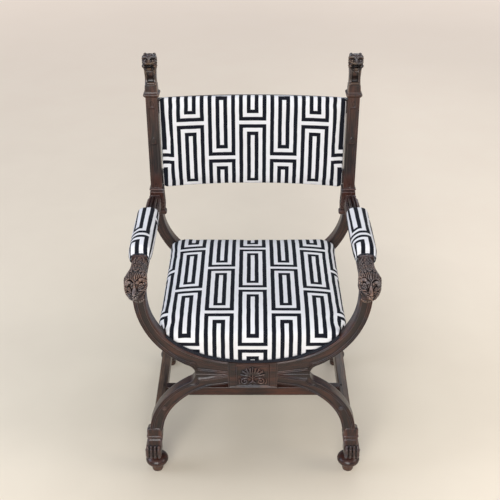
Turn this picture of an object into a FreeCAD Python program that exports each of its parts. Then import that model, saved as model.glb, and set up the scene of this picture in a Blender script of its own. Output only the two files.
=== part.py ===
"""Rigid X-frame armchair with lion heads, built as the separate pieces a joiner and an upholsterer make.

The chair faces -Y, +X is to the right in a front view and +Z is up. All sizes are in millimetres.
Depth is laid out from the front face of the front frame, and the whole chair is then centred on Y.
Each right-hand piece is drawn once and mirrored for the left.
"""
import FreeCAD, Part
import math
import os

V = FreeCAD.Vector

# Overall sizes
total_height = 1060.0
finial_height = 125.0         # from the top of a back post up
frame_pitch = 475.0           # front face of the front frame to front face of the rear frame
frame_thickness = 32.0        # plank that arches, legs and centre blocks are sawn from
leg_inset = 18.0              # outer edge of a leg inside that of the arch above it
arm_inset = 8.0               # centre line of an arm inside the outer edge of the arch
lion_inset = 11.0             # middle of a lion's face inside the same edge
post_inset = 3.0              # centre line of a back post inside the middle of the arch's end
foot_inset = 11.0             # centre line of a turned foot inside the outer edge of the leg
back_rake = 2.2               # degrees that the back leans

# Clearances
fit_gap = 0.15                # all round a tenon or dowel in its hole
soft_gap = 0.4                # between upholstery and the wood beside it
overrun = 2.0                 # how far a cutter passes a face

# Upper arches, seen from the front
arm_level = 594.0             # height where the curves become upright
arch_inner_half = 267.0
arch_inner_drop = 204.0
arch_inner_power = 2.2
arch_end_width = 33.0
arch_outer_radius = 245.0
arch_outer_lift = 6.0
front_arch_top = 606.0
rear_arch_top = 575.0

# Lower arches, which are the legs
leg_level = 150.0
leg_end_width = 36.0
leg_inner_rise = 187.0
leg_crown_width = 33.0
leg_power = 2.0
leg_shank = 26.0              # upright stretch of a leg below the curve
wedge_apex = 151.0            # where the open wedge between arch and leg ends
wedge_mouth = 170.0           # where its rounding starts
joint_height = 354.0          # glue line between arch and leg

# Centre blocks
block_half = 65.0
block_bottom = 310.0
panel_width = 87.0
panel_height = 70.0
panel_top_margin = 4.5
panel_proud = 5.0
block_sink = 4.0              # depth of the sunk field round the carved panel
block_sink_margin = 5.0

# Joinery
tenon_thickness = 11.0
block_tenon_length = 15.0
block_tenon_height = 14.0
dowel_radius = 4.5
dowel_depth = 13.0
frame_dowel_first = 86.0
frame_dowel_step = 34.0
boss_radius = 6.5
boss_proud = 3.0
boss_spigot_radius = 4.0
boss_spigot_length = 14.0
boss_height = 236.0

# Cuff and paw at the foot of each leg
paw_top = 172.0
paw_bottom = 52.0
paw_width = 46.0
paw_depth = 48.0
toe_count = 4
toe_groove_radius = 3.0
toe_groove_height = 34.0

# Turned feet
ball_radius = 31.5
ball_half_height = 18.0
ball_centre = 42.0
ball_flat_angle = 72.0        # degrees from the belly to the flat on top
peg_radius = 15.5
peg_spigot_radius = 7.0
peg_spigot_depth = 28.0

# Stretchers
side_stretcher_outset = 1.0   # its outer face beyond the centre line of the feet
side_stretcher_width = 24.0
side_stretcher_height = 34.0
stretcher_top = 196.0
stretcher_edge = 3.0
stretcher_tenon_length = 18.0
cross_stretcher_back = 158.0
cross_stretcher_thickness = 22.0
cross_stretcher_height = 30.0
cross_tenon_length = 12.0
stretcher_peg_radius = 3.0
stretcher_peg_length = 24.0

# Back posts
post_width = 33.0
post_depth = 32.0
post_block_width = 40.0
post_block_depth = 36.0
post_moulding_out = 6.0
post_moulding_height = 17.0
capital_height = 15.0
capital_bottom = 645.0
post_panel_sink = 2.0
post_panel_width = 20.0
post_panel_margin = 26.0
post_tenon_width = 16.0
post_tenon_length = 20.0

# Lion finials on the posts
collar_height = 16.0
collar_width = 48.0
finial_base_height = 16.0
finial_base_width = 38.0
finial_neck_width = 31.0
finial_neck_depth = 27.0
finial_head_width = 43.0
finial_head_height = 52.0
finial_head_length = 50.0
finial_head_forward = 7.0
finial_dowel_radius = 6.0
finial_dowel_length = 16.0

# Arms
arm_rail_width = 42.0
arm_rail_height = 34.0
arm_rail_edge = 6.0
arm_tenon_length = 18.0
arm_tenon_height = 18.0
lion_reach = 42.0             # muzzle in front of the front frame
lion_back = 112.0             # where the neck meets the arm rail
lion_width = 58.0
lion_height = 68.0
beard_length = 21.0
arm_dowel_radius = 5.0
arm_dowel_length = 40.0

# Arm pads
arm_pad_length = 254.0
arm_pad_width = 62.0
arm_pad_rise = 32.0           # crown above the rail
arm_pad_skirt = 20.0          # how far the cloth comes down beside the rail
arm_pad_shoulder = 10.0
arm_pad_bulge = 4.0
arm_pad_end_round = 14.0

# Seat frame
seat_rail_inset = 61.0        # inner face of a side rail inside the arch's inner edge
seat_rail_width = 26.0
seat_rail_height = 42.0
seat_rail_top = 452.0
seat_rail_tenon_length = 16.0
seat_board_gap = 3.5          # between a shaped board and the arch it sits in
seat_board_thickness = 21.0
corner_block_leg = 46.0
corner_block_height = 30.0
screw_radius = 2.2
screw_head_radius = 4.2
screw_head_height = 2.6
screw_length = 34.0
webbing_width = 50.0
webbing_thickness = 1.5
webbing_count = 4
hessian_thickness = 1.0
dust_cover_thickness = 0.8

# Seat upholstery
seat_side_inset = 16.0        # widest part of the cushion inside the arch's inner edge
seat_edge_height = 485.0
seat_crown_height = 500.0
seat_corner_radius = 26.0
seat_side_draw = 6.0          # how far the sides pull in at top and bottom
front_pad_sink = 3.0          # face of the front pad behind the face of the arch
front_pad_roll = 22.0
side_pad_thickness = 13.0
side_pad_draw = 6.0
gimp_width = 10.0
gimp_thickness = 2.0

# Backrest
back_rail_thickness = 18.0
back_rail_height = 40.0
back_rail_tenon_length = 14.0
back_bow = 28.0               # how far the middle lies behind the ends
back_bottom = 657.0
back_top_rise = 2.0           # upper edge of the backrest above the tops of the posts
back_pad_edge = 9.0           # thickness beside the posts
back_pad_crown = 7.0          # more in the middle
back_pad_roll = 14.0
back_rail_inset = 12.0
back_edge_gap = 1.0           # between the cloth and the carved blocks of the posts
back_cover_thickness = 1.6
back_webbing_count = 5

# Places that follow from the sizes above
arch_outer_half = arch_inner_half + arch_end_width
leg_outer_half = arch_outer_half - leg_inset
leg_inner_half = leg_outer_half - leg_end_width
leg_outer_rise = leg_inner_rise + leg_crown_width
arm_centre = arch_outer_half - arm_inset
lion_centre = arch_outer_half - lion_inset
post_centre = (arch_inner_half + arch_outer_half) / 2 - post_inset
foot_centre = leg_outer_half - foot_inset
side_stretcher_outer = foot_centre + side_stretcher_outset
post_top = total_height - finial_height
back_top = post_top + back_top_rise
seat_rail_inner = arch_inner_half - seat_rail_inset
seat_half_width = arch_inner_half - seat_side_inset
frame_back = frame_thickness
rear_face = frame_pitch
rear_back = frame_pitch + frame_thickness
frame_middle = frame_thickness / 2
mirror_plane = rear_back / 2
seat_rail_outer = seat_rail_inner + seat_rail_width
seat_rail_bottom = seat_rail_top - seat_rail_height
post_bottom = rear_arch_top
block_top = arm_level - arch_inner_drop
rake_height = capital_bottom
webbing_top = seat_rail_top + webbing_thickness * 2
hessian_top = webbing_top + hessian_thickness
arm_rail_top = front_arch_top + arm_rail_height


# Small drawing helpers

def point(x, z):
    """A point of a front-view outline."""
    return V(x, 0, z)


def line(start, end):
    return Part.LineSegment(start, end).toShape()


def arc(start, middle, end):
    return Part.Arc(start, middle, end).toShape()


def spline(points):
    """One smooth edge through the points."""
    curve = Part.BSplineCurve()
    curve.interpolate(points)
    return curve.toShape()


def polygon(points):
    """Straight edges round the points, back to the first."""
    return [line(a, b) for a, b in zip(points, points[1:] + points[:1])]


def slab(edges, way, start=V()):
    """The outline filled, moved to start and carried along way."""
    face = Part.Face(Part.Wire(edges))
    face.translate(start)
    return face.extrude(way)


def plank(edges, y_from, y_to):
    """A front-view outline sawn from a board between two depths."""
    return slab(edges, V(0, y_to - y_from, 0), V(0, y_from, 0))


def bar(x, y, z):
    """A squared piece between pairs of limits."""
    return Part.makeBox(x[1] - x[0], y[1] - y[0], z[1] - z[0], V(x[0], y[0], z[0]))


def rod(radius, start, end):
    return Part.makeCylinder(radius, (end - start).Length, start, end - start)


def across(middle, width):
    """The two limits of a width about its middle."""
    return middle - width / 2, middle + width / 2


def grown(limits, extra):
    return limits[0] - extra, limits[1] + extra


def left_of(shape):
    """The left-hand twin of a right-hand piece."""
    return shape.mirror(V(), V(1, 0, 0))


def behind(shape):
    """The rear twin of a front piece, turned to face the other way."""
    return shape.mirror(V(0, mirror_plane, 0), V(0, 1, 0))


def moved(shape, x=0, y=0, z=0):
    copy = shape.copy()
    copy.translate(V(x, y, z))
    return copy


def raked(shape):
    """The shape leaned back with the posts."""
    copy = shape.copy()
    copy.rotate(V(0, rear_face + post_depth / 2, rake_height), V(1, 0, 0), -back_rake)
    return copy


def fused(shapes):
    first, rest = shapes[0], shapes[1:]
    return first.fuse(rest).removeSplitter() if rest else first


def cut(shape, tools):
    return shape.cut(tools).removeSplitter()


def group(shapes):
    return Part.makeCompound(shapes)


def rounded(centre, u, v, width, height, corner):
    """A closed outline of four straight sides and four round corners about centre."""
    w, h = width / 2, height / 2
    bend = corner * (1 - math.sqrt(0.5))

    def at(a, b):
        return centre + u * a + v * b

    corners = [(at(w - corner, -h), at(w - bend, -h + bend), at(w, -h + corner)),
               (at(w, h - corner), at(w - bend, h - bend), at(w - corner, h)),
               (at(-w + corner, h), at(-w + bend, h - bend), at(-w, h - corner)),
               (at(-w, -h + corner), at(-w + bend, -h + bend), at(-w + corner, -h))]
    edges = []
    for here, after in zip(corners, corners[1:] + corners[:1]):
        edges += [arc(*here), line(here[2], after[0])]
    return Part.Wire(edges)


def level_ring(x, y, z, width, depth, corner_share):
    """A rounded outline lying flat."""
    return rounded(V(x, y, z), V(1, 0, 0), V(0, 1, 0), width, depth, corner_share * min(width, depth))


def upright_ring(x, y, z, width, height, corner_share):
    """A rounded outline standing across the depth of the chair."""
    return rounded(V(x, y, z), V(1, 0, 0), V(0, 0, 1), width, height, corner_share * min(width, height))


def stacked(rings, ruled=False):
    return Part.makeLoft(rings, True, ruled)


# Curves of the two arches

def bow_height(half, rise, power, x):
    """Height of a superellipse above its level at x: rise * (1 - (x/half)^power)^(1/power)."""
    return rise * max(0, 1 - (abs(x) / half) ** power) ** (1 / power)


def bow_points(half, rise, power, level, x_from, x_to, count=9):
    """Points of the superellipse between two places, evenly spaced in angle; rise < 0 hangs down."""
    def angle(x):
        return math.acos(min(1, (x / half) ** (power / 2)))

    first, last = angle(x_from), angle(x_to)
    angles = [first + (last - first) * i / (count - 1) for i in range(count)]
    return [point(half * abs(math.cos(a)) ** (2 / power), level + rise * abs(math.sin(a)) ** (2 / power))
            for a in angles]


def arch_inner_height(x):
    return arm_level - bow_height(arch_inner_half, arch_inner_drop, arch_inner_power, x)


def arch_outer_height(x):
    """Height of the round outer edge at x."""
    out = x - (arch_outer_half - arch_outer_radius)
    return arm_level + arch_outer_lift - math.sqrt(arch_outer_radius ** 2 - out ** 2)


def leg_inner_height(x):
    return leg_level + bow_height(leg_inner_half, leg_inner_rise, leg_power, x)


def leg_outer_height(x):
    return leg_level + bow_height(leg_outer_half, leg_outer_rise, leg_power, x)


def wedge_arc(mouth):
    """The arc from the wedge's mouth to its apex, upright at the apex."""
    apex = point(wedge_apex, joint_height)
    reach, drop = mouth.x - apex.x, mouth.z - apex.z
    radius = (reach ** 2 + drop ** 2) / (2 * reach)
    half_turn = math.atan2(abs(drop), radius - reach) / 2
    middle = point(apex.x + radius * (1 - math.cos(half_turn)),
                   apex.z + math.copysign(radius * math.sin(half_turn), drop))
    return mouth, middle, apex


def arch_outline(top):
    """An upper arch from the centre block to its upright end at the given height."""
    centre_x, centre_z = arch_outer_half - arch_outer_radius, arm_level + arch_outer_lift
    end_z = min(top, centre_z)
    start_turn = math.asin((centre_z - end_z) / arch_outer_radius)
    mouth = point(wedge_mouth, arch_outer_height(wedge_mouth))
    mouth_turn = math.atan2(centre_z - mouth.z, mouth.x - centre_x)
    middle_turn = (start_turn + mouth_turn) / 2
    start = point(centre_x + arch_outer_radius * math.cos(start_turn), end_z)
    middle = point(centre_x + arch_outer_radius * math.cos(middle_turn),
                   centre_z - arch_outer_radius * math.sin(middle_turn))
    inner = bow_points(arch_inner_half, -arch_inner_drop, arch_inner_power, arm_level, block_half,
                       arch_inner_place(min(top, arm_level)))
    corners = [inner[-1]]
    if top > arm_level:
        corners.append(point(arch_inner_half, top))
    if top > centre_z:
        corners.append(point(start.x, top))
    corners.append(start)
    edges = [line(point(block_half, joint_height), inner[0]), spline(inner)]
    edges += [line(a, b) for a, b in zip(corners, corners[1:])]
    edges += [arc(start, middle, mouth), arc(*wedge_arc(mouth)),
              line(point(wedge_apex, joint_height), point(block_half, joint_height))]
    return edges


def arch_inner_place(height):
    """How far out the inner edge is at a height."""
    share = (arm_level - height) / arch_inner_drop
    return arch_inner_half * (1 - share ** arch_inner_power) ** (1 / arch_inner_power)


def leg_outline():
    """A lower arch from the centre block down to the ankle."""
    inner = bow_points(leg_inner_half, leg_inner_rise, leg_power, leg_level, block_half, leg_inner_half)
    mouth = point(wedge_mouth, leg_outer_height(wedge_mouth))
    outer = bow_points(leg_outer_half, leg_outer_rise, leg_power, leg_level, leg_outer_half, wedge_mouth)
    ankle = leg_level - leg_shank
    return [line(point(block_half, joint_height), inner[0]), spline(inner),
            line(inner[-1], point(leg_inner_half, ankle)),
            line(point(leg_inner_half, ankle), point(leg_outer_half, ankle)),
            line(point(leg_outer_half, ankle), outer[0]), spline(outer), arc(*wedge_arc(mouth)),
            line(point(wedge_apex, joint_height), point(block_half, joint_height))]


# Joinery shared by neighbours

def tenon_depth(extra=0):
    return grown(across(frame_middle, tenon_thickness), extra)


def block_tenon_middles():
    """Heights of the two tenons that enter a side of a centre block: arch and leg."""
    arch_middle = (joint_height + arch_inner_height(block_half)) / 2
    leg_middle = (joint_height + leg_inner_height(block_half)) / 2
    return arch_middle, leg_middle


def block_tenon(middle, extra=0):
    """One tenon on the right, from inside the block into the arch or leg that carries it."""
    return bar((block_half - block_tenon_length - extra, block_half), tenon_depth(extra),
               grown(across(middle, block_tenon_height), extra))


def frame_dowel_places():
    return [frame_dowel_first + frame_dowel_step * i for i in range(2)]


def frame_dowels(extra=0):
    """Upright dowels across the glue line of one arch and leg."""
    reach = dowel_depth + extra
    return [rod(dowel_radius + extra, V(x, frame_middle, joint_height - reach),
                V(x, frame_middle, joint_height + reach)) for x in frame_dowel_places()]


def boss_place():
    """The middle of the leg's width at the height of its boss."""
    rise = boss_height - leg_level
    inner = leg_inner_half * math.sqrt(1 - (rise / leg_inner_rise) ** 2)
    outer = leg_outer_half * math.sqrt(1 - (rise / leg_outer_rise) ** 2)
    return (inner + outer) / 2


def boss(extra=0):
    """A turned button with a spigot into the leg."""
    x, head = boss_place(), boss_radius + extra
    dome = Part.makeCone(head, head * 0.55, boss_proud, V(x, 0, boss_height), V(0, -1, 0))
    return dome.fuse(rod(boss_spigot_radius + extra, V(x, 0, boss_height),
                         V(x, boss_spigot_length + extra, boss_height)))


# Frames

def centre_block(carved):
    """Keystone block that the four curved members are tenoned into."""
    side_top = arch_inner_height(block_half)
    outline = [line(point(-block_half, block_bottom), point(block_half, block_bottom)),
               line(point(block_half, block_bottom), point(block_half, side_top)),
               arc(point(block_half, side_top), point(0, block_top), point(-block_half, side_top)),
               line(point(-block_half, side_top), point(-block_half, block_bottom))]
    shape = plank(outline, 0, frame_back)
    sockets = [block_tenon(middle, fit_gap) for middle in block_tenon_middles()]
    sockets = [bar((socket.BoundBox.XMin, block_half + overrun), tenon_depth(fit_gap),
                   (socket.BoundBox.ZMin, socket.BoundBox.ZMax)) for socket in sockets]
    tools = sockets + [left_of(socket) for socket in sockets]
    if carved:
        field = bar(across(0, 2 * (block_half - block_sink_margin)), (-overrun, block_sink),
                    (block_bottom + block_sink_margin, block_top - panel_top_margin + panel_proud / 2))
        tools.append(field)
    return cut(shape, tools)


def carved_panel():
    """Square plaque glued in the sunk field of the front block."""
    top = block_top - panel_top_margin
    base = bar(across(0, panel_width), (0, block_sink), (top - panel_height, top))
    raise_share = 0.78
    field = upright_ring(0, 0, top - panel_height / 2, panel_width * raise_share, panel_height * raise_share,
                         0.2)
    crest = upright_ring(0, -panel_proud, top - panel_height / 2, panel_width * raise_share / 2,
                         panel_height * raise_share / 2, 0.3)
    return fused([base, stacked([field, crest], True)])


def arch(top):
    """Right-hand upper arch with its tenon and dowel holes."""
    body = fused([plank(arch_outline(top), 0, frame_back), block_tenon(block_tenon_middles()[0])])
    return cut(body, frame_dowels(fit_gap))


def paw_rings():
    """Outlines of cuff and paw from the top down, as shares of the paw's height, width and depth."""
    ring_shares = ((0.00, 0.86, 0.70, 0.02, -0.16), (0.03, 0.95, 0.76, 0.02, -0.09),
                   (0.25, 1.02, 0.78, 0.02, -0.05), (0.34, 1.02, 0.78, 0.02, 0.00),
                   (0.35, 0.84, 0.70, 0.02, 0.00), (0.44, 0.84, 0.70, 0.02, 0.00),
                   (0.46, 0.92, 0.78, 0.02, 0.02), (0.62, 0.94, 0.90, -0.04, 0.06),
                   (0.78, 0.98, 1.00, -0.09, 0.10), (0.93, 1.00, 1.02, -0.10, 0.10),
                   (1.00, 0.90, 0.94, -0.08, 0.08))
    height = paw_top - paw_bottom
    return [level_ring(foot_centre + out * paw_width, frame_middle + forward * paw_depth,
                       paw_top - down * height, wide * paw_width, deep * paw_depth, 0.3)
            for down, wide, deep, forward, out in ring_shares]


def toe_grooves():
    """Upright hollows between the claws at the front of the paw."""
    front = frame_middle - paw_depth * 0.63
    x_left, x_right = across(foot_centre + paw_width * 0.1, paw_width)
    step = (x_right - x_left) / toe_count
    return [rod(toe_groove_radius, V(x_left + step * i, front, paw_bottom - overrun),
                V(x_left + step * i, front + toe_groove_radius, paw_bottom + toe_groove_height))
            for i in range(1, toe_count)]


def ball_profile(extra):
    """Half outline of the flattened ball in the XZ plane, right of its axis."""
    turn = math.radians(ball_flat_angle)
    angles = [turn - 2 * turn * i / 8 for i in range(9)]
    return [point((ball_radius + extra) * math.cos(a), ball_centre + (ball_half_height + extra) * math.sin(a))
            for a in angles]


def turned(points, close_at=0):
    """A turning about the Z axis from a half outline, closed along its bore or its axis."""
    top, bottom = points[0], points[-1]
    edges = [spline(points), line(bottom, point(close_at, bottom.z)),
             line(point(close_at, bottom.z), point(close_at, top.z)), line(point(close_at, top.z), top)]
    return Part.Face(Part.Wire(edges)).revolve(V(), V(0, 0, 1), 360)


def foot_ball():
    """Flattened ball, bored for the peg's spigot."""
    return moved(turned(ball_profile(0), peg_spigot_radius + fit_gap), foot_centre, frame_middle)


def ball_bottom():
    return ball_centre - ball_half_height * math.sin(math.radians(ball_flat_angle))


def foot_peg():
    """Turned peg under the ball, with a long spigot through it into the paw."""
    height = ball_bottom()
    shares = ((1.00, 0.86), (0.84, 0.80), (0.66, 0.88), (0.45, 1.00), (0.22, 1.00), (0.00, 0.84))
    outline = [point(peg_radius * wide, height * up) for up, wide in shares]
    spigot_top = ball_centre + ball_half_height + peg_spigot_depth
    return moved(fused([turned(outline), rod(peg_spigot_radius, V(0, 0, height / 2), V(0, 0, spigot_top))]),
                 foot_centre, frame_middle)


def leg():
    """Right-hand lower arch with its tenon, cuff and paw."""
    tenon = block_tenon(block_tenon_middles()[1])
    body = fused([plank(leg_outline(), 0, frame_back), tenon, stacked(paw_rings(), True)])
    grip = moved(turned(ball_profile(fit_gap * 2)), foot_centre, frame_middle)
    spigot_top = ball_centre + ball_half_height + peg_spigot_depth + fit_gap
    bore = rod(peg_spigot_radius + fit_gap, V(foot_centre, frame_middle, 0),
               V(foot_centre, frame_middle, spigot_top))
    hole = rod(boss_spigot_radius + fit_gap, V(boss_place(), -overrun, boss_height),
               V(boss_place(), boss_spigot_length + fit_gap, boss_height))
    return cut(body, frame_dowels(fit_gap) + toe_grooves() + [grip, bore, hole])


# Stretchers

def side_stretcher_limits():
    return side_stretcher_outer - side_stretcher_width, side_stretcher_outer


def side_tenon(extra=0):
    """The tenon at the front end of a side stretcher."""
    middle_x, middle_z = sum(side_stretcher_limits()) / 2, stretcher_top - side_stretcher_height / 2
    return bar(grown(across(middle_x, tenon_thickness), extra),
               (frame_back - stretcher_tenon_length - extra, frame_back),
               grown(across(middle_z, side_stretcher_height * 0.6), extra))


def cross_limits():
    return cross_stretcher_back - cross_stretcher_thickness, cross_stretcher_back


def cross_tenon(extra=0):
    """The tenon at the right end of the cross stretcher."""
    inner = side_stretcher_limits()[0]
    middle_z = stretcher_top - cross_stretcher_height / 2
    return bar((inner, inner + cross_tenon_length + extra),
               grown(across(sum(cross_limits()) / 2, tenon_thickness), extra),
               grown(across(middle_z, cross_stretcher_height * 0.55), extra))


def stretcher_peg(extra=0):
    """A peg down through the side stretcher and the cross stretcher's tenon."""
    x = side_stretcher_limits()[0] + cross_tenon_length * 0.5
    y = sum(cross_limits()) / 2
    return rod(stretcher_peg_radius + extra, V(x, y, stretcher_top - stretcher_peg_length - extra),
               V(x, y, stretcher_top + extra))


def stretcher_housing():
    """The room that the end of a side stretcher takes out of a cuff."""
    return bar(side_stretcher_limits(), (frame_back, frame_back + paw_depth),
               (stretcher_top - side_stretcher_height, stretcher_top))


def side_stretcher():
    section = rounded(V(sum(side_stretcher_limits()) / 2, frame_back,
                        stretcher_top - side_stretcher_height / 2), V(1, 0, 0), V(0, 0, 1),
                      side_stretcher_width, side_stretcher_height, stretcher_edge)
    body = Part.Face(section).extrude(V(0, rear_face - frame_back, 0))
    tenons = [side_tenon(), behind(side_tenon())]
    return cut(fused([body] + tenons), [cross_tenon(fit_gap), stretcher_peg(fit_gap)])


def cross_stretcher():
    inner = side_stretcher_limits()[0]
    section = rounded(V(-inner, sum(cross_limits()) / 2, stretcher_top - cross_stretcher_height / 2),
                      V(0, 1, 0), V(0, 0, 1), cross_stretcher_thickness, cross_stretcher_height,
                      stretcher_edge)
    body = Part.Face(section).extrude(V(2 * inner, 0, 0))
    pegs = stretcher_peg(fit_gap)
    return cut(fused([body, cross_tenon(), left_of(cross_tenon())]), [pegs, left_of(pegs)])


# Back posts and finials

def post_middle_y():
    return rear_face + post_depth / 2


def post_tenon(extra=0):
    """Tenon from the post down into the rear arch."""
    return bar(grown(across(post_centre, post_tenon_width), extra),
               grown(across(post_middle_y(), tenon_thickness), extra),
               (post_bottom - post_tenon_length - extra, post_bottom + overrun))


def arm_tenon(y_shoulder, extra=0):
    """A tenon at the rear end of an arm rail, pointing back from its shoulder."""
    return bar(grown(across(post_centre + (arm_centre - post_centre) / 2, tenon_thickness), extra),
               (y_shoulder, y_shoulder + arm_tenon_length + extra),
               grown(across(front_arch_top + arm_rail_height / 2, arm_tenon_height), extra))


def arm_shoulder():
    """Depth where an arm rail stops against the post's carved block."""
    return post_middle_y() - post_block_depth / 2


def post():
    """Right-hand back post: moulding, carved block and capital upright, shaft leaned back."""
    middle_y = post_middle_y()
    moulding_top = post_bottom + post_moulding_height
    foot = stacked([level_ring(post_centre, middle_y, post_bottom + post_moulding_height * up,
                               post_block_width + post_moulding_out * 2 * out,
                               post_block_depth + post_moulding_out * out, 0.1)
                    for up, out in ((0, 0), (0.3, 1), (0.7, 1), (1, 0))], True)
    block = bar(across(post_centre, post_block_width), across(middle_y, post_block_depth),
                (moulding_top, capital_bottom))
    capital = stacked([level_ring(post_centre, middle_y, capital_bottom + capital_height * up,
                                  post_block_width + post_moulding_out * out,
                                  post_block_depth + post_moulding_out * out, 0.1)
                       for up, out in ((0, 0), (0.3, 0.8), (0.6, 0.8), (0.75, 0.2), (1, 0))], True)
    shaft = bar(across(post_centre, post_width), (rear_face, rear_face + post_depth),
                (capital_bottom, post_top))
    panel = bar(across(post_centre, post_panel_width), (rear_face - overrun, rear_face + post_panel_sink),
                (capital_bottom + capital_height + post_panel_margin, post_top - post_panel_margin))
    sockets = [back_rail_tenon(bottom, fit_gap) for bottom in back_rail_bottoms()]
    sockets.append(finial_dowel(fit_gap))
    shaft = raked(cut(shaft, [panel] + sockets))
    body = fused([foot, block, capital, shaft, post_tenon()])
    return cut(body, [arm_tenon(arm_shoulder(), fit_gap)])


def finial_dowel(extra=0):
    """The dowel between post and finial, before the back is leaned."""
    y = post_middle_y()
    return rod(finial_dowel_radius + extra, V(post_centre, y, post_top - finial_dowel_length - extra),
               V(post_centre, y, post_top + finial_dowel_length * 0.9 + extra))


def finial():
    """Right-hand finial: collar, base, scrolled neck and a lion's head that looks forward."""
    middle_y = post_middle_y()
    base_bottom = post_top + collar_height
    base_top = base_bottom + finial_base_height
    head_middle = total_height - finial_head_height / 2
    collar_shares = ((0, 0.74), (0.25, 0.94), (0.4, 1), (0.7, 1), (0.8, 0.88), (1, 0.8))
    collar = stacked([level_ring(post_centre, middle_y, post_top + collar_height * up, collar_width * wide,
                                 collar_width * wide, 0.12) for up, wide in collar_shares], True)
    base = stacked([level_ring(post_centre, middle_y, base_bottom + finial_base_height * up,
                               finial_base_width * wide, finial_base_width * wide, 0.12)
                    for up, wide in ((0, 1), (0.45, 1), (0.6, 0.9), (1, 0.84))], True)
    neck_height = head_middle - base_top
    neck = stacked([level_ring(post_centre, middle_y + finial_neck_depth * back, base_top + neck_height * up,
                               finial_neck_width * wide, finial_neck_depth * deep, 0.3)
                    for up, back, wide, deep in ((0, 0, 1, 1.05), (0.3, 0.08, 0.96, 0.8),
                                                 (0.6, 0.04, 1, 0.95), (1, 0, 1.1, 1.2))])
    back_y = middle_y + finial_head_length / 2 - finial_head_forward
    head_shares = ((0.00, 0.50, 0.50, 0.06), (0.10, 0.84, 0.84, 0.02), (0.36, 1.00, 1.00, 0.00),
                   (0.62, 0.94, 0.88, -0.02), (0.80, 0.66, 0.58, -0.14), (1.00, 0.44, 0.36, -0.20))
    head = stacked([upright_ring(post_centre, back_y - finial_head_length * forward,
                                 head_middle + finial_head_height * up, finial_head_width * wide,
                                 finial_head_height * high, 0.42) for forward, wide, high, up in head_shares])
    return raked(cut(fused([collar, base, neck, head]), [finial_dowel(fit_gap)]))


# Arms

def arm_rail_limits(extra=0):
    return (grown(across(arm_centre, arm_rail_width), extra),
            grown((front_arch_top, arm_rail_top), extra))


def arm_rail():
    """Right-hand arm rail between the lion's neck and the post."""
    section = rounded(V(arm_centre, lion_back, front_arch_top + arm_rail_height / 2), V(1, 0, 0), V(0, 0, 1),
                      arm_rail_width, arm_rail_height, arm_rail_edge)
    body = Part.Face(section).extrude(V(0, arm_shoulder() - lion_back, 0))
    front_tenon = lion_tenon()
    return fused([body, arm_tenon(arm_shoulder()), front_tenon])


def lion_tenon(extra=0):
    """The tenon at the front of the arm rail, into the lion's neck."""
    return bar(grown(across(arm_centre, tenon_thickness), extra),
               (lion_back - arm_tenon_length - extra, lion_back),
               grown(across(front_arch_top + arm_rail_height / 2, arm_tenon_height), extra))


def arm_dowel(extra=0):
    """Upright dowel between the arch's end and the lion."""
    middle_x = (arch_inner_half + arch_outer_half) / 2
    reach = arm_dowel_length / 2 + extra
    return rod(arm_dowel_radius + extra, V(middle_x, frame_middle, front_arch_top - reach),
               V(middle_x, frame_middle, front_arch_top + reach))


def arm_lion():
    """Right-hand lion's head and maned neck on the front end of an arm."""
    length = lion_back + lion_reach
    rail_middle = front_arch_top + arm_rail_height / 2
    ring_shares = ((0.00, 0.30, 0.24, -0.20), (0.09, 0.50, 0.46, -0.14), (0.20, 0.84, 0.82, -0.06),
                   (0.34, 1.00, 1.00, 0.02), (0.50, 0.90, 0.86, 0.08), (0.72, 0.70, 0.58, 0.12),
                   (1.00, 0.72, 0.50, 0.00))
    rings = []
    for back, wide, high, up in ring_shares:
        x = lion_centre + (arm_centre - lion_centre) * back
        rings.append(upright_ring(x, back * length - lion_reach, rail_middle + up * lion_height,
                                  lion_width * wide, lion_height * high, 0.4))
    arch_middle = (arch_inner_half + arch_outer_half) / 2
    beard = stacked([level_ring(arch_middle, 0, front_arch_top - beard_length * down,
                                (arch_outer_half - arch_inner_half) * wide, lion_reach * deep, 0.3)
                     for down, wide, deep in ((-0.5, 1.1, 0.9), (0.3, 0.9, 0.6), (1, 0.4, 0.25))], True)
    seat = bar(across(arch_middle, arch_outer_half - arch_inner_half),
               (0, frame_back), (front_arch_top - lion_height, front_arch_top))
    return cut(fused([stacked(rings), beard]), [seat, arm_dowel(fit_gap), lion_tenon(fit_gap)])


def arm_pad():
    """Right-hand arm pad: crowned, wider than the rail and drawn down beside it, with rounded ends."""
    half, bulge = arm_pad_width / 2, arm_pad_bulge
    low, high = arm_rail_top - arm_pad_skirt, arm_rail_top + arm_pad_rise
    shoulder = high - arm_pad_shoulder
    front = lion_back + soft_gap
    back = front + arm_pad_length
    side = arm_centre - half + bulge, arm_centre + half - bulge
    middle_z = (low + shoulder) / 2
    section = [arc(point(side[0], low), point(side[0] - bulge, middle_z), point(side[0], shoulder)),
               arc(point(side[0], shoulder), point(arm_centre, high), point(side[1], shoulder)),
               arc(point(side[1], shoulder), point(side[1] + bulge, middle_z), point(side[1], low)),
               line(point(side[1], low), point(side[0], low))]
    turn = arm_pad_end_round
    nip = turn * (1 - math.sqrt(0.5))
    profile = [line(V(0, back, low), V(0, front, low)), line(V(0, front, low), V(0, front, high - turn)),
               arc(V(0, front, high - turn), V(0, front + nip, high - nip), V(0, front + turn, high)),
               line(V(0, front + turn, high), V(0, back - turn, high)),
               arc(V(0, back - turn, high), V(0, back - nip, high - nip), V(0, back, high - turn)),
               line(V(0, back, high - turn), V(0, back, low))]
    body = plank(section, front, back)
    ends = slab(profile, V(arm_pad_width + overrun, 0, 0), V(arm_centre - half - overrun / 2, 0, 0))
    (x, z) = arm_rail_limits(soft_gap)
    return cut(body.common(ends), [bar(x, (front - overrun, back + overrun), (z[0], z[1]))])


# Seat frame

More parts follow.
